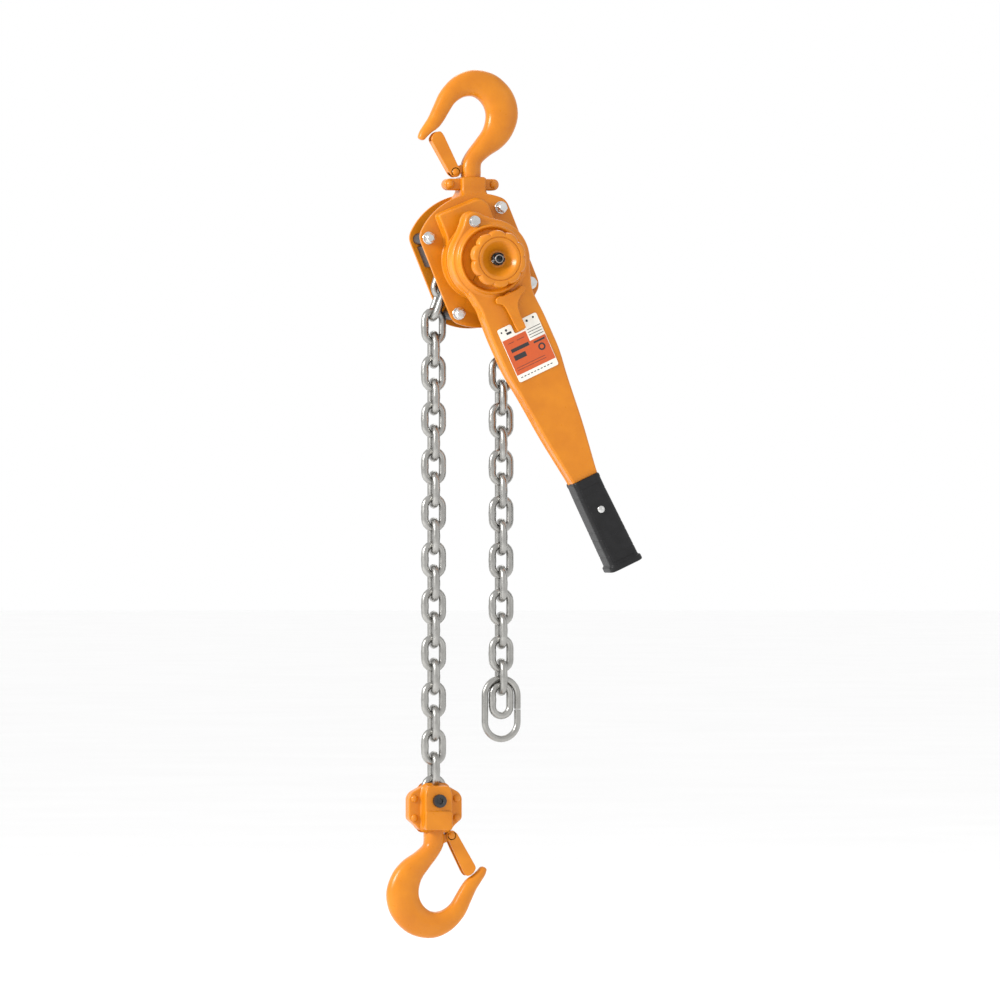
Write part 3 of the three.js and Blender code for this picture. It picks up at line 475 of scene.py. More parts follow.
def area_light(name, place, size, power):
    data = bpy.data.lights.new(name, "AREA")
    data.shape = "DISK"
    data.size = size
    data.energy = power
    made = bpy.data.objects.new(name, data)
    made.location = place
    made.rotation_euler = (Vector(LIGHTS_AIM) - Vector(place)).to_track_quat("-Z", "Y").to_euler()
    bpy.context.scene.collection.objects.link(made)


def studio():
    """Soft lights in a white surround."""
    for light in LIGHTS:
        area_light(*light)
    world = bpy.data.worlds.new("studio")
    world.use_nodes = True
    background = world.node_tree.nodes["Background"]
    background.inputs["Color"].default_value = (1, 1, 1, 1)
    background.inputs["Strength"].default_value = 1.0
    bpy.context.scene.world = world
    bpy.context.scene.view_settings.view_transform = "Standard"


def floor():
    """A wide pale disc."""
    level = cad_box[0].z - FLOOR_DROP
    rings = [[(r * cos(a), r * sin(a), level) for a in around(FLOOR_SIDES)] for r in FLOOR_RINGS]
    vertices, faces = loft(rings, capped=False)
    mesh = bpy.data.meshes.new("floor")
    mesh.from_pydata(vertices, [], faces + [tuple(range(FLOOR_SIDES))])
    made = bpy.data.objects.new("floor", mesh)
    bpy.context.scene.collection.objects.link(made)
    nodes = Nodes("pale_floor", "paint")
    shade = nodes.ramp(nodes.noise(3, 3), (0.3, 0.96), (0.7, 0.98))
    made.data.materials.append(nodes.set(Base_Color=shade, Roughness=0.9))


camera()
studio()
floor()


# ---------- chain ----------
WIRE_SIDES = 16
BEND_STEPS = 10
SIDE_STEPS = 5
WELD_SWELL = 1.07


def link_shape():
    """A welded link lying in X and Z: round wire bent to an oval, swollen a little at the weld."""
    bend = (LINK_WIDTH - WIRE) / 2
    straight = (PITCH + WIRE) / 2 - bend
    path = []
    for end in (1, -1):
        for i in range(BEND_STEPS + 1):
            angle = pi * i / BEND_STEPS + (0 if end == 1 else pi)
            path.append((Vector((cos(angle), 0, sin(angle))), end * straight))
        for i in range(1, SIDE_STEPS):
            path.append((Vector((-end, 0, 0)), end * straight * (1 - i * 2 / SIDE_STEPS)))
    rings = []
    for out, height in path:
        centre = out * bend + Vector((0, 0, height))
        on_weld = out.x < -0.99 and abs(height) < 0.3 * straight
        thick = WIRE / 2 * (WELD_SWELL if on_weld else 1.0)
        rings.append([
            centre + out * thick * cos(a) + Vector((0, thick * sin(a), 0))
            for a in around(WIRE_SIDES)
        ])
    return loft(rings, closed=True)


LINK = link_shape()
LINKS_ON_SHEAVE = 5
LEAD_LINKS = 2
UPPER_LOAD_LINKS, LOAD_LINKS = 4, 21
UPPER_SLACK_LINKS, SLACK_LINKS = 6, 19
HINGE_PLAY = 0.5  # between the two halves of a run
SHEAVE_TURN = 2  # degrees
KINK_STEP = 180 / (2 * POCKETS)
KINK_R = PITCH / 2 / sin(radians(KINK_STEP))  # where two links on the sheave meet
LINK_R = PITCH / 2 / tan(radians(KINK_STEP))  # the middle of a link on the sheave


def chain_link(name, body, x, z, lean=0.0, edge_on=False):
    """One link whose length points lean degrees from straight up, towards +X."""
    place = HOIST @ Matrix.Translation((x, 0, z)) @ Matrix.Rotation(radians(lean), 4, "Y")
    if edge_on:
        place = place @ Matrix.Rotation(pi / 2, 4, "Z")
    return add(name, *LINK, place, body, CHAIN_STEEL, crease=80)


def straight_run(name, body, x, top, first, count):
    """Links that hang straight down, face-on and edge-on by turns. top is where the run starts."""
    made = []
    for i in range(first, first + count):
        z = top - PITCH * (i + 0.5)
        made.append(chain_link(f"{name}_{i + 1:02d}", body, x, z, edge_on=i % 2 == 1))
    return made


def stand_for(pieces, node):
    """The pieces stand in for the node, whose solid is hidden."""
    for piece in pieces:
        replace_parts(piece, node)


def run_of(node):
    """The middle of a run in X and its lowest point, measured from the main shaft."""
    low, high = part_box(node)
    return (low.x + high.x) / 2 / MM - SHAFT.x, low.z / MM - SHAFT.z


def sheave_links():
    """The links that lie in the sheave's pockets, flat and on edge by turns."""
    made = []
    for i in range(LINKS_ON_SHEAVE):
        angle = SHEAVE_TURN + i * 180 / POCKETS
        x, z = LINK_R * cos(radians(angle)), LINK_R * sin(radians(angle))
        made.append(chain_link(f"sheave_link_{i + 1}", "sheave", x, z, -angle, edge_on=i % 2 == 0))
    stand_for(made, "chain_on_sheave")


def lead_links(run_x, top):
    """Links that lean from the run to where the chain comes off the sheave."""
    kink = radians(SHEAVE_TURN + 180 + KINK_STEP)
    kink_x = KINK_R * cos(kink) + LEAD_SHIFT
    lean = asin((kink_x - run_x) / (LEAD_LINKS * PITCH))
    made = []
    for i in range(LEAD_LINKS):
        along = (LEAD_LINKS - 0.5 - i) * PITCH
        x, z = run_x + along * sin(lean), top + along * cos(lean)
        made.append(chain_link(f"lead_link_{i + 1}", "load_chain", x, z, degrees(lean), edge_on=i == 1))
    return made


def chain_run(kind, links, upper_links):
    """A run of links in two parts that hinge on each other. Its last link ends where the lower node does."""
    body = f"{kind}_chain"
    x, low = run_of(f"{body}_lower")
    top = low + (PITCH + WIRE * 2) / 2 + PITCH * (links - 0.5)
    upper_top = top - HINGE_PLAY
    leads = lead_links(x, upper_top) if kind == "load" else []
    upper = straight_run(f"{kind}_link", body, x, upper_top, 0, upper_links)
    stand_for(leads + upper, f"{body}_upper")
    lower = straight_run(f"{kind}_link", f"{body}_hanging", x, top, upper_links, links - upper_links)
    stand_for(lower, f"{body}_lower")


def chains():
    """Both runs hang from the sheave: the load run on the left and the slack run on the right."""
    sheave_links()
    chain_run("load", LOAD_LINKS, UPPER_LOAD_LINKS)
    chain_run("slack", SLACK_LINKS, UPPER_SLACK_LINKS)


def end_ring():
    """A bent wire ring with a butt joint on its right side."""
    low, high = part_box("chain_end_ring")
    width, height = (high.x - low.x) / MM, (high.z - low.z) / MM
    wire = (high.y - low.y) / MM
    bend = (width - wire) / 2
    straight = (height - wire) / 2 - bend
    above_joint, below_joint = -straight * 0.02, -straight * 0.06
    path = [(bend, above_joint), *arc(bend, 0, 180, 20, (0, straight)),
            *arc(bend, 180, 360, 20, (0, -straight)), (bend, below_joint)]
    rings = []
    for x, z in path:
        out = Vector((x, 0, z - max(-straight, min(straight, z)))).normalized()
        rings.append([
            Vector((x, 0, z)) + out * wire / 2 * cos(a) + Vector((0, wire / 2 * sin(a), 0))
            for a in around(WIRE_SIDES)
        ])
    centre = (low + high) / 2 / MM
    ring = add("end_ring", *loft(rings), Matrix.Translation(centre), "end_ring", CHAIN_STEEL, bevel=0.6,
               crease=60)
    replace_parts(ring, "chain_end_ring")


# ---------- hooks ----------
# Stations along a hook from the shank to the tip: inner x and z, outer x and z, half thickness.
HOOK_STATIONS = [
    (12, 68, -12, 68, 12), (12, 60, -12, 60, 12), (9.6, 51.5, -14, 54.8, 11.9), (3, 40.5, -24, 46.5, 11.8),
    (-7, 27.5, -38.5, 37, 12), (-15.8, 14.8, -51, 22.5, 12.4), (-19.3, 1, -58.8, 1, 12.6),
    (-17.6, -9.8, -56.2, -21, 12.6), (-12.2, -18.2, -45.2, -39, 12.4), (-4.8, -23.4, -26.5, -52.5, 12),
    (3.2, -24.4, -1.5, -56.4, 11.6), (12, -22, 20.5, -47.8, 10.8), (21, -15.4, 37, -31, 9.8),
    (28, -4.8, 46.2, -12.8, 8.8), (33.6, 4.4, 52.4, 0.4, 8.2), (38.8, 11.6, 57.2, 8, 7.6),
    (43.2, 15.6, 60.6, 13, 7),
    (48.6, 19.2, 63.2, 17, 6.6), (54, 23.8, 65, 20.6, 6.2), (57.6, 27.8, 66, 24, 5.8),
]
HOOK_SIDES = 32
SHANK_R = 12
SHANK_TOP = 75.9
TIP_HEADING = (0.48, 0, 0.88)
TIP_CAPS = ((0.95, 0.9), (0.8, 1.9), (0.55, 2.7), (0.25, 3.1))  # share of the last section, and reach
SECTION_FULLNESS = 0.07


def hook_section(xi, zi, xo, zo, half):
    """An oval between an inner and an outer point, a little squarer than an ellipse."""
    middle = Vector(((xi + xo) / 2, 0, (zi + zo) / 2))
    out = Vector(((xo - xi) / 2, 0, (zo - zi) / 2))
    ring = []
    for a in around(HOOK_SIDES):
        fat = 1 + SECTION_FULLNESS * (sin(2 * a) ** 2)
        ring.append(middle + out * cos(a) * fat + Vector((0, half * sin(a) * fat, 0)))
    return ring


def forged_hook(place, prefix, body):
    """A round shank, a bowl, a beak with a blunt tip, and an ear for the latch's pin."""
    rings = [[Vector((-SHANK_R * cos(a), SHANK_R * sin(a), SHANK_TOP)) for a in around(HOOK_SIDES)]]
    rings += [hook_section(*station) for station in spline(HOOK_STATIONS, 4, closed=False)]
    tip = rings[-1]
    centre = sum(tip, Vector()) / len(tip)
    for share, reach in TIP_CAPS:
        rings.append([centre + (point - centre) * share + Vector(TIP_HEADING) * reach for point in tip])
    ear = layers(slot_outline((6, 60), (LATCH_PIVOT.x, LATCH_PIVOT.z), 4.6),
                 [(0.8, -4), (0, -3.2), (0, 3.2), (0.8, 4)])
    shape = join(loft(rings), ear)
    return add(f"{prefix}_hook_forging", *shape, place, body, FORGED_PAINT, crease=50)


LATCH_SHEET = 2.2
LATCH_HALF = 7
LATCH_SIDE = [(25.9, 72.6), (52.2, 27.6), (46.6, 19.8), (39.8, 17.8), (35.8, 22.4), (20.8, 53), (18.4, 58.5),
              (14.6, 64), (15.2, 71)]
LATCH_BACK = Vector((25.9, 0, 72.2)), Vector((51.4, 0, 28.4))
LATCH_BOSS_R = 6.2


def latch(place, prefix, body):
    """A folded sheet: two cheeks round the ear and a back that bridges them."""
    cheek = rounded(list(reversed(LATCH_SIDE)), 5)
    cheeks = []
    half = LATCH_HALF
    levels = [(0.7, half), (0.15, half - 0.3), (0, half - 0.8), (0, half - LATCH_SHEET)]
    for side in (-1, 1):
        cheeks.append(layers(cheek, levels, side))
        cheeks.append(layers(circle(LATCH_BOSS_R, 40, (LATCH_PIVOT.x, LATCH_PIVOT.z)), levels, side))
    foot, tip = LATCH_BACK
    spine = tip - foot
    across = Vector((-spine.z, 0, spine.x)).normalized()
    rings = []
    for t in (0.1, 0.3, 0.7, 0.96):
        centre = foot + spine * t - across * (LATCH_SHEET / 2)
        rings.append([
            centre + across * (LATCH_SHEET / 2) * u + Vector((0, v, 0))
            for u, v in ((1, -5.5), (1, 5.5), (0.5, 6.4), (-1, 6.0), (-1, -6.0), (0.5, -6.4))
        ])
    made = add(f"{prefix}_latch", *join(*cheeks, loft(rings)), place, body, SHEET_PAINT, bevel=0.4,
               segments=2)
    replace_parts(made, f"{prefix}_hook_latch")


def rivet_profile(half, shank, head, height):
    """A rivet along Y with a domed head at each end."""
    dome = [(0, height), (head * 0.45, height * 0.93), (head * 0.8, height * 0.62), (head, height * 0.12),
            (head * 0.97, 0)]
    front = [(r, -half - h) for r, h in dome]
    back = [(r, half + h) for r, h in reversed(dome)]
    return front + [(shank, -half), (shank, half)] + back


def latch_pin(place, prefix, body):
    pin = shifted(turned(rivet_profile(LATCH_HALF, 2.5, 4.4, 2), 32), LATCH_PIVOT.x, 0, LATCH_PIVOT.z)
    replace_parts(add(f"{prefix}_pin", *pin, place, body, FORGED_PAINT, crease=60), f"{prefix}_latch_pin")


def tube_shape(path, radius, sides=12):
    """A round wire along a path."""
    rings = []
    up = Vector((0, 1, 0))
    for i, point in enumerate(path):
        along = (path[min(i + 1, len(path) - 1)] - path[max(i - 1, 0)]).normalized()
        side = along.cross(up)
        side = side.normalized() if side.length > 1e-3 else Vector((1, 0, 0))
        over = side.cross(along).normalized()
        rings.append([point + side * radius * cos(a) + over * radius * sin(a) for a in around(sides)])
    return loft(rings)


def hooks():
    for prefix, place, hook_body, latch_body in (
        ("top", TOP_BOWL, "top_hook", "top_latch"),
        ("bottom", BOTTOM_BOWL, "bottom_hook", "bottom_latch"),
    ):
        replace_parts(forged_hook(place, prefix, hook_body), f"{prefix}_hook")
        latch(place, prefix, latch_body)
        latch_pin(place, prefix, hook_body)


# ---------- side plates, neck and stay bolts ----------
PLATE_R = 81
PLATE_HALF = 59.5
PLATE_IN = 20
PLATE_OUT = 24.5
CORNER_EASE = 5  # degrees
CORNER_DROP = 8
STAY = 49
STAY_R = 7
NECK_LEFT, NECK_RIGHT = -19.5, 11.5
# Height, depth on each side of the joint face, and how far the neck spreads on each side.
NECK_LEVELS = [(64, 24.3, 9), (70, 24.3, 7.5), (74, 24, 5), (77, 23, 2.8), (79.5, 21, 1.2), (82, 18.4, 0.4),
               (84.5, 16.9, 0), (88, 16.5, 0), (99.4, 16.5, 0)]
NECK_CAP = 1.6
LUG_Z = 92
LUG_R = 7
LUG_ENDS = (-32, 22.5)
JOINT_GAP = 0.15  # from the joint face to each half


def quarter(start, corner, end, steps=7):
    """A curve from start to end that is pulled towards a corner."""
    a, b, c = Vector(start), Vector(corner), Vector(end)
    return [tuple(a.lerp(b, s / steps).lerp(b.lerp(c, s / steps), s / steps)) for s in range(steps + 1)]


def plate_points():
    """The side plate's outline from the main shaft: a disc flattened on two sides, tilted with the frame."""
    corner = degrees(acos(PLATE_HALF / PLATE_R))
    round_end = arc(PLATE_R, corner + CORNER_EASE, 180 - corner - CORNER_EASE, 30)
    x, z = round_end[-1]
    height = PLATE_R * sin(radians(corner))
    flat = height - CORNER_DROP
    half = round_end + quarter((x, z), (-PLATE_HALF, height), (-PLATE_HALF, flat), 6)
    half += quarter((-PLATE_HALF, -flat), (-PLATE_HALF, -height), (x, -z), 6)
    whole = half + [(-x, -z) for x, z in half]
    tilt = Matrix.Rotation(-FRAME_TILT, 4, "Y")
    placed = [tilt @ Vector((x, 0, z)) for x, z in whole]
    return [(v.x, v.z) for v in placed]


def neck_half(way):
    """Half of the neck, on one side of the joint face: as deep as the plates at its foot, slimmer above."""
    rings = []
    joint = way * JOINT_GAP
    for z, depth, flare in NECK_LEVELS:
        left, right, face = NECK_LEFT - flare, NECK_RIGHT + flare, way * depth
        edge, corner = face - way * 3.4, face - way * 1.1
        section = [(left, joint), (left, edge), (left + 1.2, corner), (left + 3.2, face),
                   (right - 3.2, face), (right - 1.2, corner), (right, edge), (right, joint)]
        rings.append([(x, y, z) for x, y in section])
    top = [(x * 0.86 - 0.5, y * 0.9, z + NECK_CAP) for x, y, z in rings[-1]]
    return loft(rings + [top])


def side_plates():
    """Two pressed plates, each with half of the neck and its lugs, and a rivet through each pair of lugs."""
    outline = plate_points()
    lug = slot_outline((LUG_ENDS[0], LUG_Z), (LUG_ENDS[1], LUG_Z), LUG_R)
    for name, way in (("front", -1), ("rear", 1)):
        plate = layers(outline, [(0.9, PLATE_OUT), (0.25, PLATE_OUT - 0.3), (0, PLATE_OUT - 1),
                                 (0, PLATE_IN + 0.6), (0.6, PLATE_IN)], way)
        ears = layers(lug, [(2.2, 9), (0.7, 8.3), (0, 6.8), (0, JOINT_GAP)], way)
        made = add(f"{name}_plate", *join(plate, neck_half(way), ears), *ON_FRAME, FORGED_PAINT, crease=50)
        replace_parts(made, f"{name}_side_plate")
    for name, x in (("left", LUG_ENDS[0]), ("right", LUG_ENDS[1])):
        rivet = shifted(turned(rivet_profile(9.2, 3, 5, 3.2), 32), x, 0, LUG_Z)
        made = add(f"lug_rivet_{name}", *rivet, *ON_FRAME, FORGED_PAINT, crease=60)
        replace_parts(made, f"neck_rivet_{name}")


def flipped(shape):
    """The same shape facing the other way along Y."""
    return [(x, -y, z) for x, y, z in shape[0]], shape[1]


def ring_washer(hole, radius, face, thick, chamfer=0.4, sides=40):
    """A flat washer that stands on a face and has a chamfer at its front."""
    return turned([(hole, face), (radius, face), (radius, face - thick + chamfer),
                   (radius - chamfer, face - thick), (hole, face - thick)], sides, closed=True)


def hexagon(across, front, back, turn=0):
    """A nut's or bolt head's hexagon with chamfered corners."""
    outline = rounded(arc(across / sqrt(3), turn, turn + 360, 6)[:-1], 0.9, 3)
    return layers(outline, [(0.9, front), (0, front + 0.8), (0, back - 0.4), (0.5, back)])


def thread(radius, front, back, pitch=1.5, sides=24):
    """Parallel thread grooves, ending in a chamfer at the front."""
    profile = [(0, front), (radius - 1, front), (radius - 0.2, front + 0.8)]
    count = int((back - front - 1.5) / pitch)
    for i in range(count):
        y = front + 1.2 + i * pitch
        profile += [(radius, y), (radius - 0.55, y + pitch / 2)]
    profile += [(radius, back), (0, back)]
    return turned(profile, sides)


def stay_bolts():
    """Stays between the plates, each end with a spring washer, a nut and a bit of thread."""
    end = PLATE_IN - 0.3
    for i, (x, z) in enumerate(((-STAY, STAY), (STAY, STAY), (-STAY, -STAY), (STAY, -STAY))):
        tube = rod(STAY_R, -end, end, 48)
        stay = add(f"stay_tube_{i + 1}", *shifted(tube, x, 0, z), *ON_PLATES, BLACK_STEEL, bevel=0.4)
        nut = hexagon(12, -7.6, -1.7, 17 + 11 * i)
        fastening = join(ring_washer(4.6, 7.6, 0, 1.6), nut, thread(5, -9.4, 0))
        both = join(shifted(fastening, y=-PLATE_OUT), shifted(flipped(fastening), y=PLATE_OUT))
        nuts = add(f"stay_nuts_{i + 1}", *shifted(both, x, 0, z), *ON_PLATES, ZINC, crease=40)
        stand_for([stay, nuts], f"stay_bolt_{i + 1}")


def guide_strip():
    """A dark strip between the plates that keeps the load chain off their edges."""
    outline = rounded([(-54.5, 14), (-50.5, 14), (-50.5, 41), (-54.5, 41)], 1.2, 4)
    add("guide_strip", *slab(outline, -19.4, 19.4), *ON_PLATES, BLACK_STEEL, bevel=0.5)


# ---------- brake cover ----------
BRAKE_BACK = -24.9
BRAKE_FRONT = -37.4
BRAKE_R = 47
BOSS_LEFT, BOSS_RIGHT = -31, 33
BOSS_TOP = 71
BOSS_SLOPE = 9


def brake_cover():
    """A pressed cover: a round part round the brake and a house-shaped part over the pawls."""
    left = degrees(acos(BOSS_LEFT / BRAKE_R))
    right = degrees(acos(BOSS_RIGHT / BRAKE_R))
    round_part = arc(BRAKE_R, left + 5, 360 + right - 5, 56)
    corners = [round_part[-1], (BOSS_RIGHT, 42), (BOSS_RIGHT, BOSS_TOP - BOSS_SLOPE),
               (BOSS_RIGHT - BOSS_SLOPE, BOSS_TOP), (BOSS_LEFT + 2, BOSS_TOP), (BOSS_LEFT, BOSS_TOP - 2),
               (BOSS_LEFT, 42), round_part[0]]
    steps = 6
    outline = round_part + rounded(corners, 6, steps)[steps + 1:-steps - 1]
    back, front = BRAKE_BACK, BRAKE_FRONT
    foot = [(-1.6, back), (-1.4, back - 0.6), (-0.4, back - 1.5), (0, back - 3)]
    shoulder = [(0, front + 3), (0.3, front + 1.6), (1, front + 0.6), (2, front + 0.1), (2.7, front)]
    shape = layers(outline, foot + shoulder)
    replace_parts(add("brake_housing", *shape, *ON_PLATES, SHEET_PAINT, crease=50), "brake_cover")


# ---------- ratchet lever ----------
LEVER_BACK = -38.2
LEVER_SPLIT = -55
LEVER_FRONT = -73
ARM_BACK = -46
ARM_END = -399
ARM_LEAN = 3
LEAN_FROM, LEAN_FULL = -30, -60  # heights
LEAN_FADE = 100  # the stretch above the arm's end where the lean goes back to nothing
HEAD_R = 49
LEVER_EAR = (0, 50)
EAR_R = 12
ARM_SIDE = [(16, ARM_END), (16.2, -292), (26, -225), (32, -163), (36.4, -134), (36.4, -84), (34.6, -60)]
WAIST = [(35.2, -66), (35, -52), (37.2, -42)]
# The seam between the two pressed halves: inset and distance from the split.
SEAM = [(0.5, 0.15), (-0.5, 0.6), (-0.9, 1.6), (-0.6, 2.6), (0, 3.4)]
# The raised lip round the wheel's well: radius and depth from the lever's face.
LIP = [(46.5, 0.6), (45, -0.4), (43, -1.4), (41.9, -3), (41.7, -5), (41.1, -6.4), (40, -7), (38.9, -6.8),
       (38, -6), (37.5, -4.6), (37.2, -1.6), (36, -0.3), (34, 0.6)]


def arm_lean(z):
    """How far the arm stands off the line through the shaft: most along its middle, nothing at its end."""
    grown = max(0, min(1, (LEAN_FROM - z) / (LEAN_FROM - LEAN_FULL)))
    return -ARM_LEAN * grown * min(1, (z - ARM_END + 6) / LEAN_FADE)


def lever_outline():
    """The lever from the front: a round head with an ear for the bolt, a waist and a tapering arm."""
    steps = 6
    arm = [ARM_SIDE[0]] + rounded(ARM_SIDE, 16, steps)[steps + 1:-steps - 1]
    waist = spline([arm[-1], *WAIST, *arc(HEAD_R, -32, -28, 1)], 5, closed=False)
    head = arc(HEAD_R, -26, 50, 26)
    ear = quarter(head[-1], (17, 48), (EAR_R - 1, LEVER_EAR[1] + 5.5), 6) + arc(EAR_R, 28, 90, 8, LEVER_EAR)
    half = arm[:-1] + waist + head + ear
    whole = half + [(-x, z) for x, z in reversed(half) if abs(x) > 0.01]
    return [(x + arm_lean(z), z) for x, z in whole]


def lever_shells():
    """Two pressed shells that meet at a seam, the front one with the lip and the rear one with the drum."""
    outline = lever_outline()
    face = LEVER_FRONT
    front = layers(outline, [(inwards, LEVER_SPLIT - y) for inwards, y in SEAM] + [
        (0, face + 3.4), (0.35, face + 1.7), (1.2, face + 0.6), (2.3, face + 0.1), (3.2, face)])
    lip = turned([(r, face + y) for r, y in LIP], 96, closed=True)
    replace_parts(add("lever_front", *join(front, lip), *ON_LEVER, SHEET_PAINT, crease=60), "lever_front_shell")

    rear = layers(outline, [(inwards, LEVER_SPLIT + y) for inwards, y in SEAM] + [
        (0, ARM_BACK - 3.4), (0.7, ARM_BACK - 1.5), (2, ARM_BACK - 0.4), (3.6, ARM_BACK)])
    drum = turned([(0, ARM_BACK - 1), (HEAD_R, ARM_BACK - 1), (HEAD_R, LEVER_BACK - 2.4),
                   (HEAD_R - 0.8, LEVER_BACK - 0.7), (HEAD_R - 2.6, LEVER_BACK), (0, LEVER_BACK)], 96)
    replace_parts(add("lever_rear", *join(rear, drum), *ON_LEVER, SHEET_PAINT, crease=50), "lever_rear_shell")


def lever_bolt():
    """A hexagon bolt, a washer under it and a nut behind the shells."""
    washer = turned([(3.6, -73.3), (7, -73.3), (7, -74.2), (6.6, -74.5), (3.6, -74.5)], 40, closed=True)
    head = hexagon(11.4, -78.5, -74.4, 12)
    shank = rod(3.5, -74, LEVER_BACK - 0.5, 32)
    nut = hexagon(10, ARM_BACK + 0.2, LEVER_BACK - 2.6, 4)
    bolt = shifted(join(washer, head, shank, nut), LEVER_EAR[0], 0, LEVER_EAR[1])
    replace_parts(add("lever_head_bolt", *bolt, *ON_LEVER, ZINC), "lever_bolt")


SELECTOR_PIVOT = (0, -52)
# The heights below which the stem leans forward, and by how much for each millimetre.
STEM_LEANS = [(-72, 0.16), (-56, 0.02)]
SELECTOR_EDGE = [
    (23.5, -45), (20, -43.2), (12, -45), (-4, -45), (-11, -43.4), (-15.6, -45.6), (-15.6, -50.6), (-10, -54.4),
    (-7.4, -60), (-6.4, -70), (-6.4, -80), (-6, -89), (-4.6, -91), (4, -91), (5.4, -89), (5.8, -80),
    (6.4, -70), (9.4, -60), (16, -53.6), (23, -50),
]


def selector():
    """A pressed thumb lever: a bar across the pivot and a stem that leans forward at its tip."""
    levels = [(1.1, -81), (0.35, -80.7), (0, -80), (0, -78), (0.6, -77)]
    vertices, faces = layers(spline(SELECTOR_EDGE, 4), levels)
    leant = []
    for x, y, z in vertices:
        forward = sum(max(0, height - z) * share for height, share in STEM_LEANS)
        leant.append((x + arm_lean(z), y - forward, z))
    boss = turned([(0, -78.4), (8, -78.4), (8, -73.9), (7.6, -73.4), (0, -73.4)], 40)
    post = rod(4, -78, -58, 24)
    pivot = shifted(join(boss, post), SELECTOR_PIVOT[0], 0, SELECTOR_PIVOT[1])
    made = add("selector", *join((leant, faces), pivot), LEVER, "selector", SHEET_PAINT, crease=50)
    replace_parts(made, "selector_lever")


PLATE_FACE = LEVER_FRONT - 0.9
INK = 0.06  # each layer of ink stands this much further out
LABEL_TOP, LABEL_LOW = -80, -149
LABEL_LEFT, LABEL_RIGHT = -30, 24
NOTCH_LEFT, NOTCH_RIGHT, NOTCH_LOW = -11, 4, -93
RING_MARK = (13.5, -120.5)
# Left, right, lower and upper edge of the bars that stand for the plate's text.
TEXT_BARS = [(-26, 13, -132, -131.5), (-26, 13, -135, -134.5), (-24, 0, -112.6, -108.2),
             (-24, -8, -123, -116.8), (6, 21, -113.4, -111.2), (-20.8, -14.2, -90.4, -87.6),
             (-24, -16, -101.2, -100.6), (-12, -2, -101.2, -100.6)]
DOTS = [(-26, -85.2, 1.1), (-19.5, -84.6, 1.5), (9, -84.8, 1.5), (18, -84, 1.3), (*RING_MARK, 4.6)]


def bar(x0, x1, z0, z1, face):
    """A thin printed bar on the name plate."""
    return slab([(x0, z0), (x1, z0), (x1, z1), (x0, z1)], face, PLATE_FACE + 0.2)


def name_plate():
    """A plate with a notch for the selector and plain printed fields: rules and dots stand for its text."""
    corners = [(LABEL_LEFT, LABEL_LOW), (LABEL_RIGHT, LABEL_LOW), (LABEL_RIGHT, LABEL_TOP),
               (NOTCH_RIGHT, LABEL_TOP), (NOTCH_RIGHT, NOTCH_LOW), (NOTCH_LEFT, NOTCH_LOW),
               (NOTCH_LEFT, LABEL_TOP), (LABEL_LEFT, LABEL_TOP)]
    plate = layers(rounded(corners, 3, 5), [(0.25, PLATE_FACE), (0, PLATE_FACE + 0.2), (0, LEVER_FRONT - 0.3)])
    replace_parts(add("plate_base", *plate, *ON_LEVER, WHITE_INK, crease=60), "name_plate")

    ink = PLATE_FACE - INK
    red = [bar(LABEL_LEFT + 0.6, 2.5, -140, -95, ink), bar(2.5, LABEL_RIGHT - 0.6, -140, -108.5, ink)]
    add("plate_field", *join(*red), *ON_LEVER, RED_INK, crease=60)

    over = PLATE_FACE - 2 * INK
    marks = [bar(4.5, LABEL_RIGHT - 1.2, -94.6 - 3.4 * k - 0.7, -94.6 - 3.4 * k, over) for k in range(4)]
    marks += [bar(-26 + 4.5 * k, -23.4 + 4.5 * k, -144.6, -143.6, over) for k in range(10)]
    marks += [bar(*edges, over) for edges in TEXT_BARS]
    marks += [slab(circle(r, 24, (x, z)), over, PLATE_FACE + 0.2) for x, z, r in DOTS]
    add("plate_marks", *join(*marks), *ON_LEVER, BLACK_INK, crease=60)
    dot = slab(circle(2.6, 24, RING_MARK), PLATE_FACE - 3 * INK, PLATE_FACE + 0.2)
    add("plate_dot", *dot, *ON_LEVER, RED_INK, crease=60)


# ---------- rubber grip ----------
GRIP_FRONT = -77.5
GRIP_BACK = -41.5
GRIP_TOP = -287
GRIP_LOW = -402
GRIP_HALF = 17.6
GRIP_WIDENING = 1.9
GRIP_RIVET_Z = -329
GROOVES = {-308: 12.2, -352: 13, -363: 13.2, -374: 13.4, -385: 13.6}  # height and half width
# Height and inset of the grip's rolled top edge and of its end flange.
GRIP_MOUTH = [(-287, 2.6), (-287.1, 0.9), (-287.9, 0.1), (-289, -0.5), (-292, -0.5), (-293.4, 0)]
GRIP_END = [(-396, 0), (-397.2, -0.4), (-398, -1.8), (-399, -2.4), (-403.4, -2.4), (-404.5, -1.8),
            (-405, -0.6), (-405, 8)]
GRIP_PANEL = [(-14.6, -394), (14.6, -394), (13, -298), (-13, -298)]
GRIP_RIVET = [(0, -80.3), (2.2, -80.1), (3.9, -79.4), (4.6, -78.4), (4.6, -77.9), (3.2, -77.9), (3.2, -41.2),
              (4.6, -41.2), (3.9, -39.6), (0, -39)]


def grip_section(z):
    """The grip's section across the arm at one height: a rounded rectangle that widens towards the end."""
    half = GRIP_HALF + GRIP_WIDENING * (GRIP_TOP - z) / (GRIP_TOP - GRIP_LOW)
    corners = [(-half, GRIP_FRONT), (half, GRIP_FRONT), (half, GRIP_BACK), (-half, GRIP_BACK)]
    return rounded(corners, 7, 6)


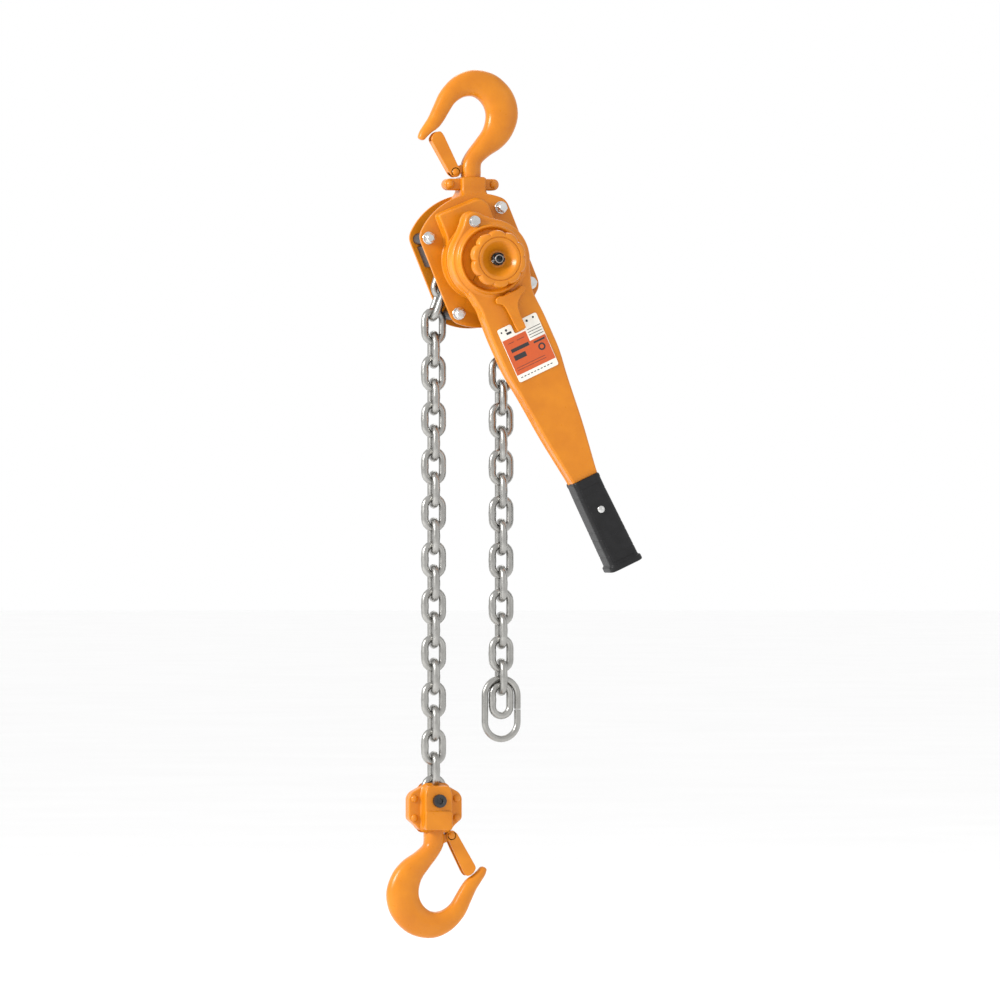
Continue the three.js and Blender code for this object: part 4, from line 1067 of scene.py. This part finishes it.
def grip():
    """A moulded sleeve with shallow grooves round it, a raised panel on each face, and a rivet through it."""
    levels = list(GRIP_MOUTH)
    for z in GROOVES:
        levels += [(z + 0.7, 0), (z, 0.45), (z - 0.7, 0)]
    rings = []
    for z, shrink in levels + GRIP_END:
        section = inset(grip_section(max(z, GRIP_LOW)), shrink)
        rings.append([(x + arm_lean(z), y, z) for x, y in section])
    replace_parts(add("grip_sleeve", *loft(rings), *ON_LEVER, RUBBER, crease=50), "grip")

    edge = [(x + arm_lean(z), z) for x, z in rounded(GRIP_PANEL, 2, 4)]
    panels = [
        layers(edge, [(0.9, face + side * 0.5), (0.3, face + side * 0.4), (0, face), (0, face - side)])
        for side, face in ((-1, GRIP_FRONT), (1, GRIP_BACK))
    ]
    add("grip_panels", *join(*panels), *ON_LEVER, RUBBER, crease=50)
    ribs = []
    for z, half in GROOVES.items():
        line = slot_outline((-half + arm_lean(z), z), (half + arm_lean(z), z), 0.45, 4)
        ribs.append(layers(line, [(0.25, GRIP_FRONT - 0.72), (0, GRIP_FRONT - 0.55), (0, GRIP_FRONT + 0.5)]))
    add("grip_ribs", *join(*ribs), *ON_LEVER, RUBBER, crease=50)

    rivet = shifted(turned(GRIP_RIVET, 40), arm_lean(GRIP_RIVET_Z), 0, GRIP_RIVET_Z)
    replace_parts(add("grip_pin", *rivet, *ON_LEVER, ZINC, crease=50), "grip_rivet")


# ---------- hand wheel and castle nut ----------
WHEEL_R = 35
WHEEL_LOBES = 10
WHEEL_SIDES = 240
NOTCH_DEPTH = 3.4
NOTCH_POWER = 0.5  # below 1 the lobes are broad and the notches narrow
WHEEL_FRONT = -108
# From the wheel's back to its front: depth, distance inside the rim, and the share of the lobes' wave.
WHEEL_RIM = [(-75, 16, 0), (-75, 10.2, 0), (-76, 9, 0), (-89, 8.4, 0), (-91.6, 7.4, 0.2), (-93.4, 5, 0.6),
             (-94.8, 2.4, 0.9), (-96, 1.2, 1), (-98, 0.5, 1), (-103, 0.5, 1), (-106, 1.4, 1),
             (-107.4, 2.7, 0.9), (-107.9, 4.4, 0.6), (-108, 6.4, 0.2), (-108, 7.8, 0)]
# The ring groove and the funnel: radius and depth behind the front.
WHEEL_FACE = [(26.9, 0), (26.6, 0.25), (26.4, 1), (25.8, 1.1), (25.5, 0.9), (25.3, 0.2), (25, 0), (22.6, 0.05),
              (21.6, 0.5), (20.6, 1.4), (17.6, 4.8), (14.6, 7.9), (12.4, 9.7), (11.1, 10.5), (9.4, 11.5)]
NUT_SEAT = -96.8
NUT_FRONT = -104.5
NUT_WAIST = -100.3
NUT_TOWERS = 6
SHAFT_TIP = [(0, -106), (4.2, -106), (5, -105.4), (5.2, -105), (5.2, -95), (0, -95)]
SPLIT_PIN_Y = -101.5
SPLIT_PIN_LEG = [(-6.4, 0.45), (5.6, 0.45), (6.6, 0.8), (7.2, 1.7), (7.3, 3.4)]


def wheel_radius(angle):
    """The rim's radius: broad lobes with rounded notches between them."""
    wave = abs(cos(angle * WHEEL_LOBES / 2))
    return WHEEL_R - NOTCH_DEPTH * (1 - wave ** NOTCH_POWER)


def hand_wheel():
    """A lobed rim on a hub, and a face with a ring groove and a funnel down to the nut."""
    rings = []
    for y, inside, share in WHEEL_RIM:
        rings.append([])
        for a in around(WHEEL_SIDES):
            radius = wheel_radius(a) * share + WHEEL_R * (1 - share) - inside
            rings[-1].append((radius * cos(a), y, radius * sin(a)))
    for radius, down in WHEEL_FACE:
        rings.append([(radius * cos(a), WHEEL_FRONT + down, radius * sin(a)) for a in around(WHEEL_SIDES)])
    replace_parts(add("wheel", *loft(rings), *ON_DRIVE, WHEEL_PAINT, crease=50), "hand_wheel")


def castle_nut():
    """A nut with a castellated crown round the end of the shaft."""
    parts = [layers(circle(7.8, 48), [(0.5, NUT_SEAT), (0, NUT_SEAT - 0.5), (0, NUT_WAIST)])]
    for k in range(NUT_TOWERS):
        start = 360 / NUT_TOWERS * k + 11
        tower = arc(7.7, start, start + 38, 8) + arc(5.9, start + 38, start, 8)
        parts.append(layers(tower, [(0.5, NUT_FRONT), (0, NUT_FRONT + 0.5), (0, NUT_WAIST + 0.3)]))
    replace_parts(add("castellated_nut", *join(*parts), *ON_DRIVE, BLACK_STEEL, crease=40), "castle_nut")
    add("shaft_end", *turned(SHAFT_TIP, 40), *ON_DRIVE, BLACK_STEEL, crease=40)


def split_pin():
    """A pin through the nut's slots: an eye on one side and two bent legs on the other."""
    eye = [Vector((-7.4 + 1.3 * cos(a), SPLIT_PIN_Y, 1.3 * sin(a))) for a in around(16)[:-1]]
    wires = [tube_shape(eye, 0.5)]
    for way in (-1, 1):
        wires.append(tube_shape([Vector((x, SPLIT_PIN_Y, way * z)) for x, z in SPLIT_PIN_LEG], 0.45))
    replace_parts(add("split_pin_wire", *join(*wires), *ON_DRIVE, ZINC, crease=60), "split_pin")


# ---------- gear cover ----------
COVER_FRONT = 24.8
COVER_BACK = 58
COVER_R = 36.5
COVER_FLANGE = 4.5
GEAR_CENTRES = 39
COVER_SCREWS = [(-42.5, -26), (42.5, -26), (-42.5, 26), (42.5, 26)]


def gear_cover():
    """A deep drawn cover over the gear train, on a flange with four screws."""
    front, back = COVER_FRONT, COVER_BACK
    ends = (0, -GEAR_CENTRES), (0, GEAR_CENTRES)
    flange = layers(slot_outline(*ends, COVER_R + COVER_FLANGE, 24), [
        (0, front), (0, front + 2.4), (0.6, front + 3), (4, front + 3.1)])
    body = layers(slot_outline(*ends, COVER_R, 24), [
        (-2.4, front + 2.9), (-0.9, front + 3.4), (0, front + 5.2), (0, back - 6), (0.6, back - 3.4),
        (2, back - 1.5), (4.2, back - 0.3), (6.2, back)])
    lug = turned([(0, front), (6.2, front), (6.2, front + 2.5), (5.6, front + 3.2), (0, front + 3.2)], 32)
    lugs = [shifted(lug, x, 0, z) for x, z in COVER_SCREWS]
    made = add("gear_case", *join(flange, body, *lugs), *ON_PLATES, SHEET_PAINT, crease=50)
    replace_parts(made, "gear_cover")
    washer = turned([(2.2, 28.1), (4.6, 28.1), (4.6, 29.1), (4.2, 29.4), (2.2, 29.4)], 32, closed=True)
    shank = rod(2, 29, front + 0.2, 20)
    for i, (x, z) in enumerate(COVER_SCREWS):
        screw = join(flipped(hexagon(7, -32, -29.4, 20 * i)), washer, shank)
        made = add(f"case_screw_{i + 1}", *shifted(screw, x, 0, z), *ON_PLATES, ZINC)
        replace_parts(made, f"cover_screw_{i + 1}")


# ---------- bottom block ----------
BLOCK_RIM = [(33.4, 4), (29.5, 10), (12, 19.6), (-12, 19.6), (-29.5, 10), (-33.4, 4), (-33.4, -22), (-24, -30),
             (-20, -35.3), (20, -35.3), (24, -30), (33.4, -22)]
BLOCK_HALF_WIDTH = 17
BLOCK_OUT = 24
BLOCK_RECESS = BLOCK_OUT - 1.4
BLOCK_STEP = -12
BLOCK_LOW, BLOCK_TOP = -35.3, 18
BLOCK_SHOULDER = 8
BLOCK_TAPER = 0.008  # how much narrower for each millimetre above the shoulder
BLOCK_SLOPE = 0.16  # how far its face goes back for each millimetre
BLOCK_FACE = 15  # what stands further out than this belongs to the face
BLOCK_RIVETS = [(-26.4, 2.6), (26.4, 2.6), (-26.4, -20.6), (26.4, -20.6)]
# The pin's head from its socket's floor to its back: radius, depth from the front, and how hexagonal it is.
PIN_HEAD = [(4, 3.2, 1), (4, 0.6, 1), (4.6, 0, 0.6), (6.8, 0, 0), (7.7, 0.5, 0), (8, 1.4, 0), (8, 7.2, 0)]


def block_half(side):
    """Half of the block: a rim riveted to the other half, and a box over the pin and the hook's head."""
    rim = layers(rounded(BLOCK_RIM, 3), [(1.8, 8), (0.6, 7.6), (0, 6.4), (0, 0.9), (0.6, JOINT_GAP)], side)
    half, low, top, shoulder = BLOCK_HALF_WIDTH, BLOCK_LOW, BLOCK_TOP, BLOCK_SHOULDER
    outline = rounded([(-half, low), (half, low), (half, shoulder), (half - 1.4, top), (1.4 - half, top),
                       (-half, shoulder)], 5)
    upper = layers(outline, [(2, BLOCK_RECESS), (0.8, BLOCK_RECESS - 0.4), (0, BLOCK_RECESS - 1.8), (0, 12),
                             (-0.8, 9.6), (-2.6, 8.1), (-3.4, 7)], side)
    lower_outline = rounded([(-half, low), (half, low), (half, BLOCK_STEP), (-half, BLOCK_STEP)], 4)
    out = BLOCK_OUT
    lower = layers(lower_outline, [(1.6, out), (0.5, out - 0.4), (0, out - 1.3), (0, 20)], side)
    sloped = []
    for x, y, z in upper[0]:
        rise = max(0, z - shoulder)
        back = side * BLOCK_SLOPE * rise if abs(y) > BLOCK_FACE else 0
        sloped.append((x * (1 - BLOCK_TAPER * rise), y - back, z))
    return join(rim, (sloped, upper[1]), lower)


def socket_head(front):
    """A round bolt head with a hexagon socket."""
    sixth = pi / 3
    rings = []
    for radius, down, hexed in PIN_HEAD:
        ring = []
        for a in around(48):
            flat = cos(sixth / 2) / cos((a + sixth / 2) % sixth - sixth / 2)
            r = radius * (1 - hexed + hexed * flat)
            ring.append((r * cos(a), front + down, r * sin(a)))
        rings.append(ring)
    return loft(rings)


def bottom_block():
    """Two forged halves with four rivets, and the chain's pin across them with its nut."""
    for name, side in (("front", -1), ("rear", 1)):
        made = add(f"block_{name}", *block_half(side), *ON_BLOCK, FORGED_PAINT, crease=50)
        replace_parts(made, f"bottom_block_{name}")
    for i, (x, z) in enumerate(BLOCK_RIVETS):
        rivet = shifted(turned(rivet_profile(8.2, 2.5, 4.5, 2.6), 28), x, 0, z)
        made = add(f"block_stud_{i + 1}", *rivet, *ON_BLOCK, FORGED_PAINT, crease=60)
        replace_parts(made, f"block_rivet_{i + 1}")
    out = BLOCK_OUT
    shank = turned([(0, -out - 2), (5, -out - 2), (5, out + 5.4), (4.4, out + 6), (0, out + 6)], 40)
    pin = join(socket_head(-out - 6), shank)
    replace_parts(add("block_pin", *pin, *ON_BLOCK, BLACK_STEEL, crease=40), "chain_pin")
    nut = flipped(hexagon(14.6, -out - 6.3, -out + 0.8, 15))
    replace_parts(add("block_nut", *nut, *ON_BLOCK, BLACK_STEEL), "chain_pin_nut")


chains()
end_ring()
hooks()
side_plates()
stay_bolts()
guide_strip()
brake_cover()
lever_shells()
lever_bolt()
selector()
name_plate()
grip()
hand_wheel()
castle_nut()
split_pin()
gear_cover()
bottom_block()
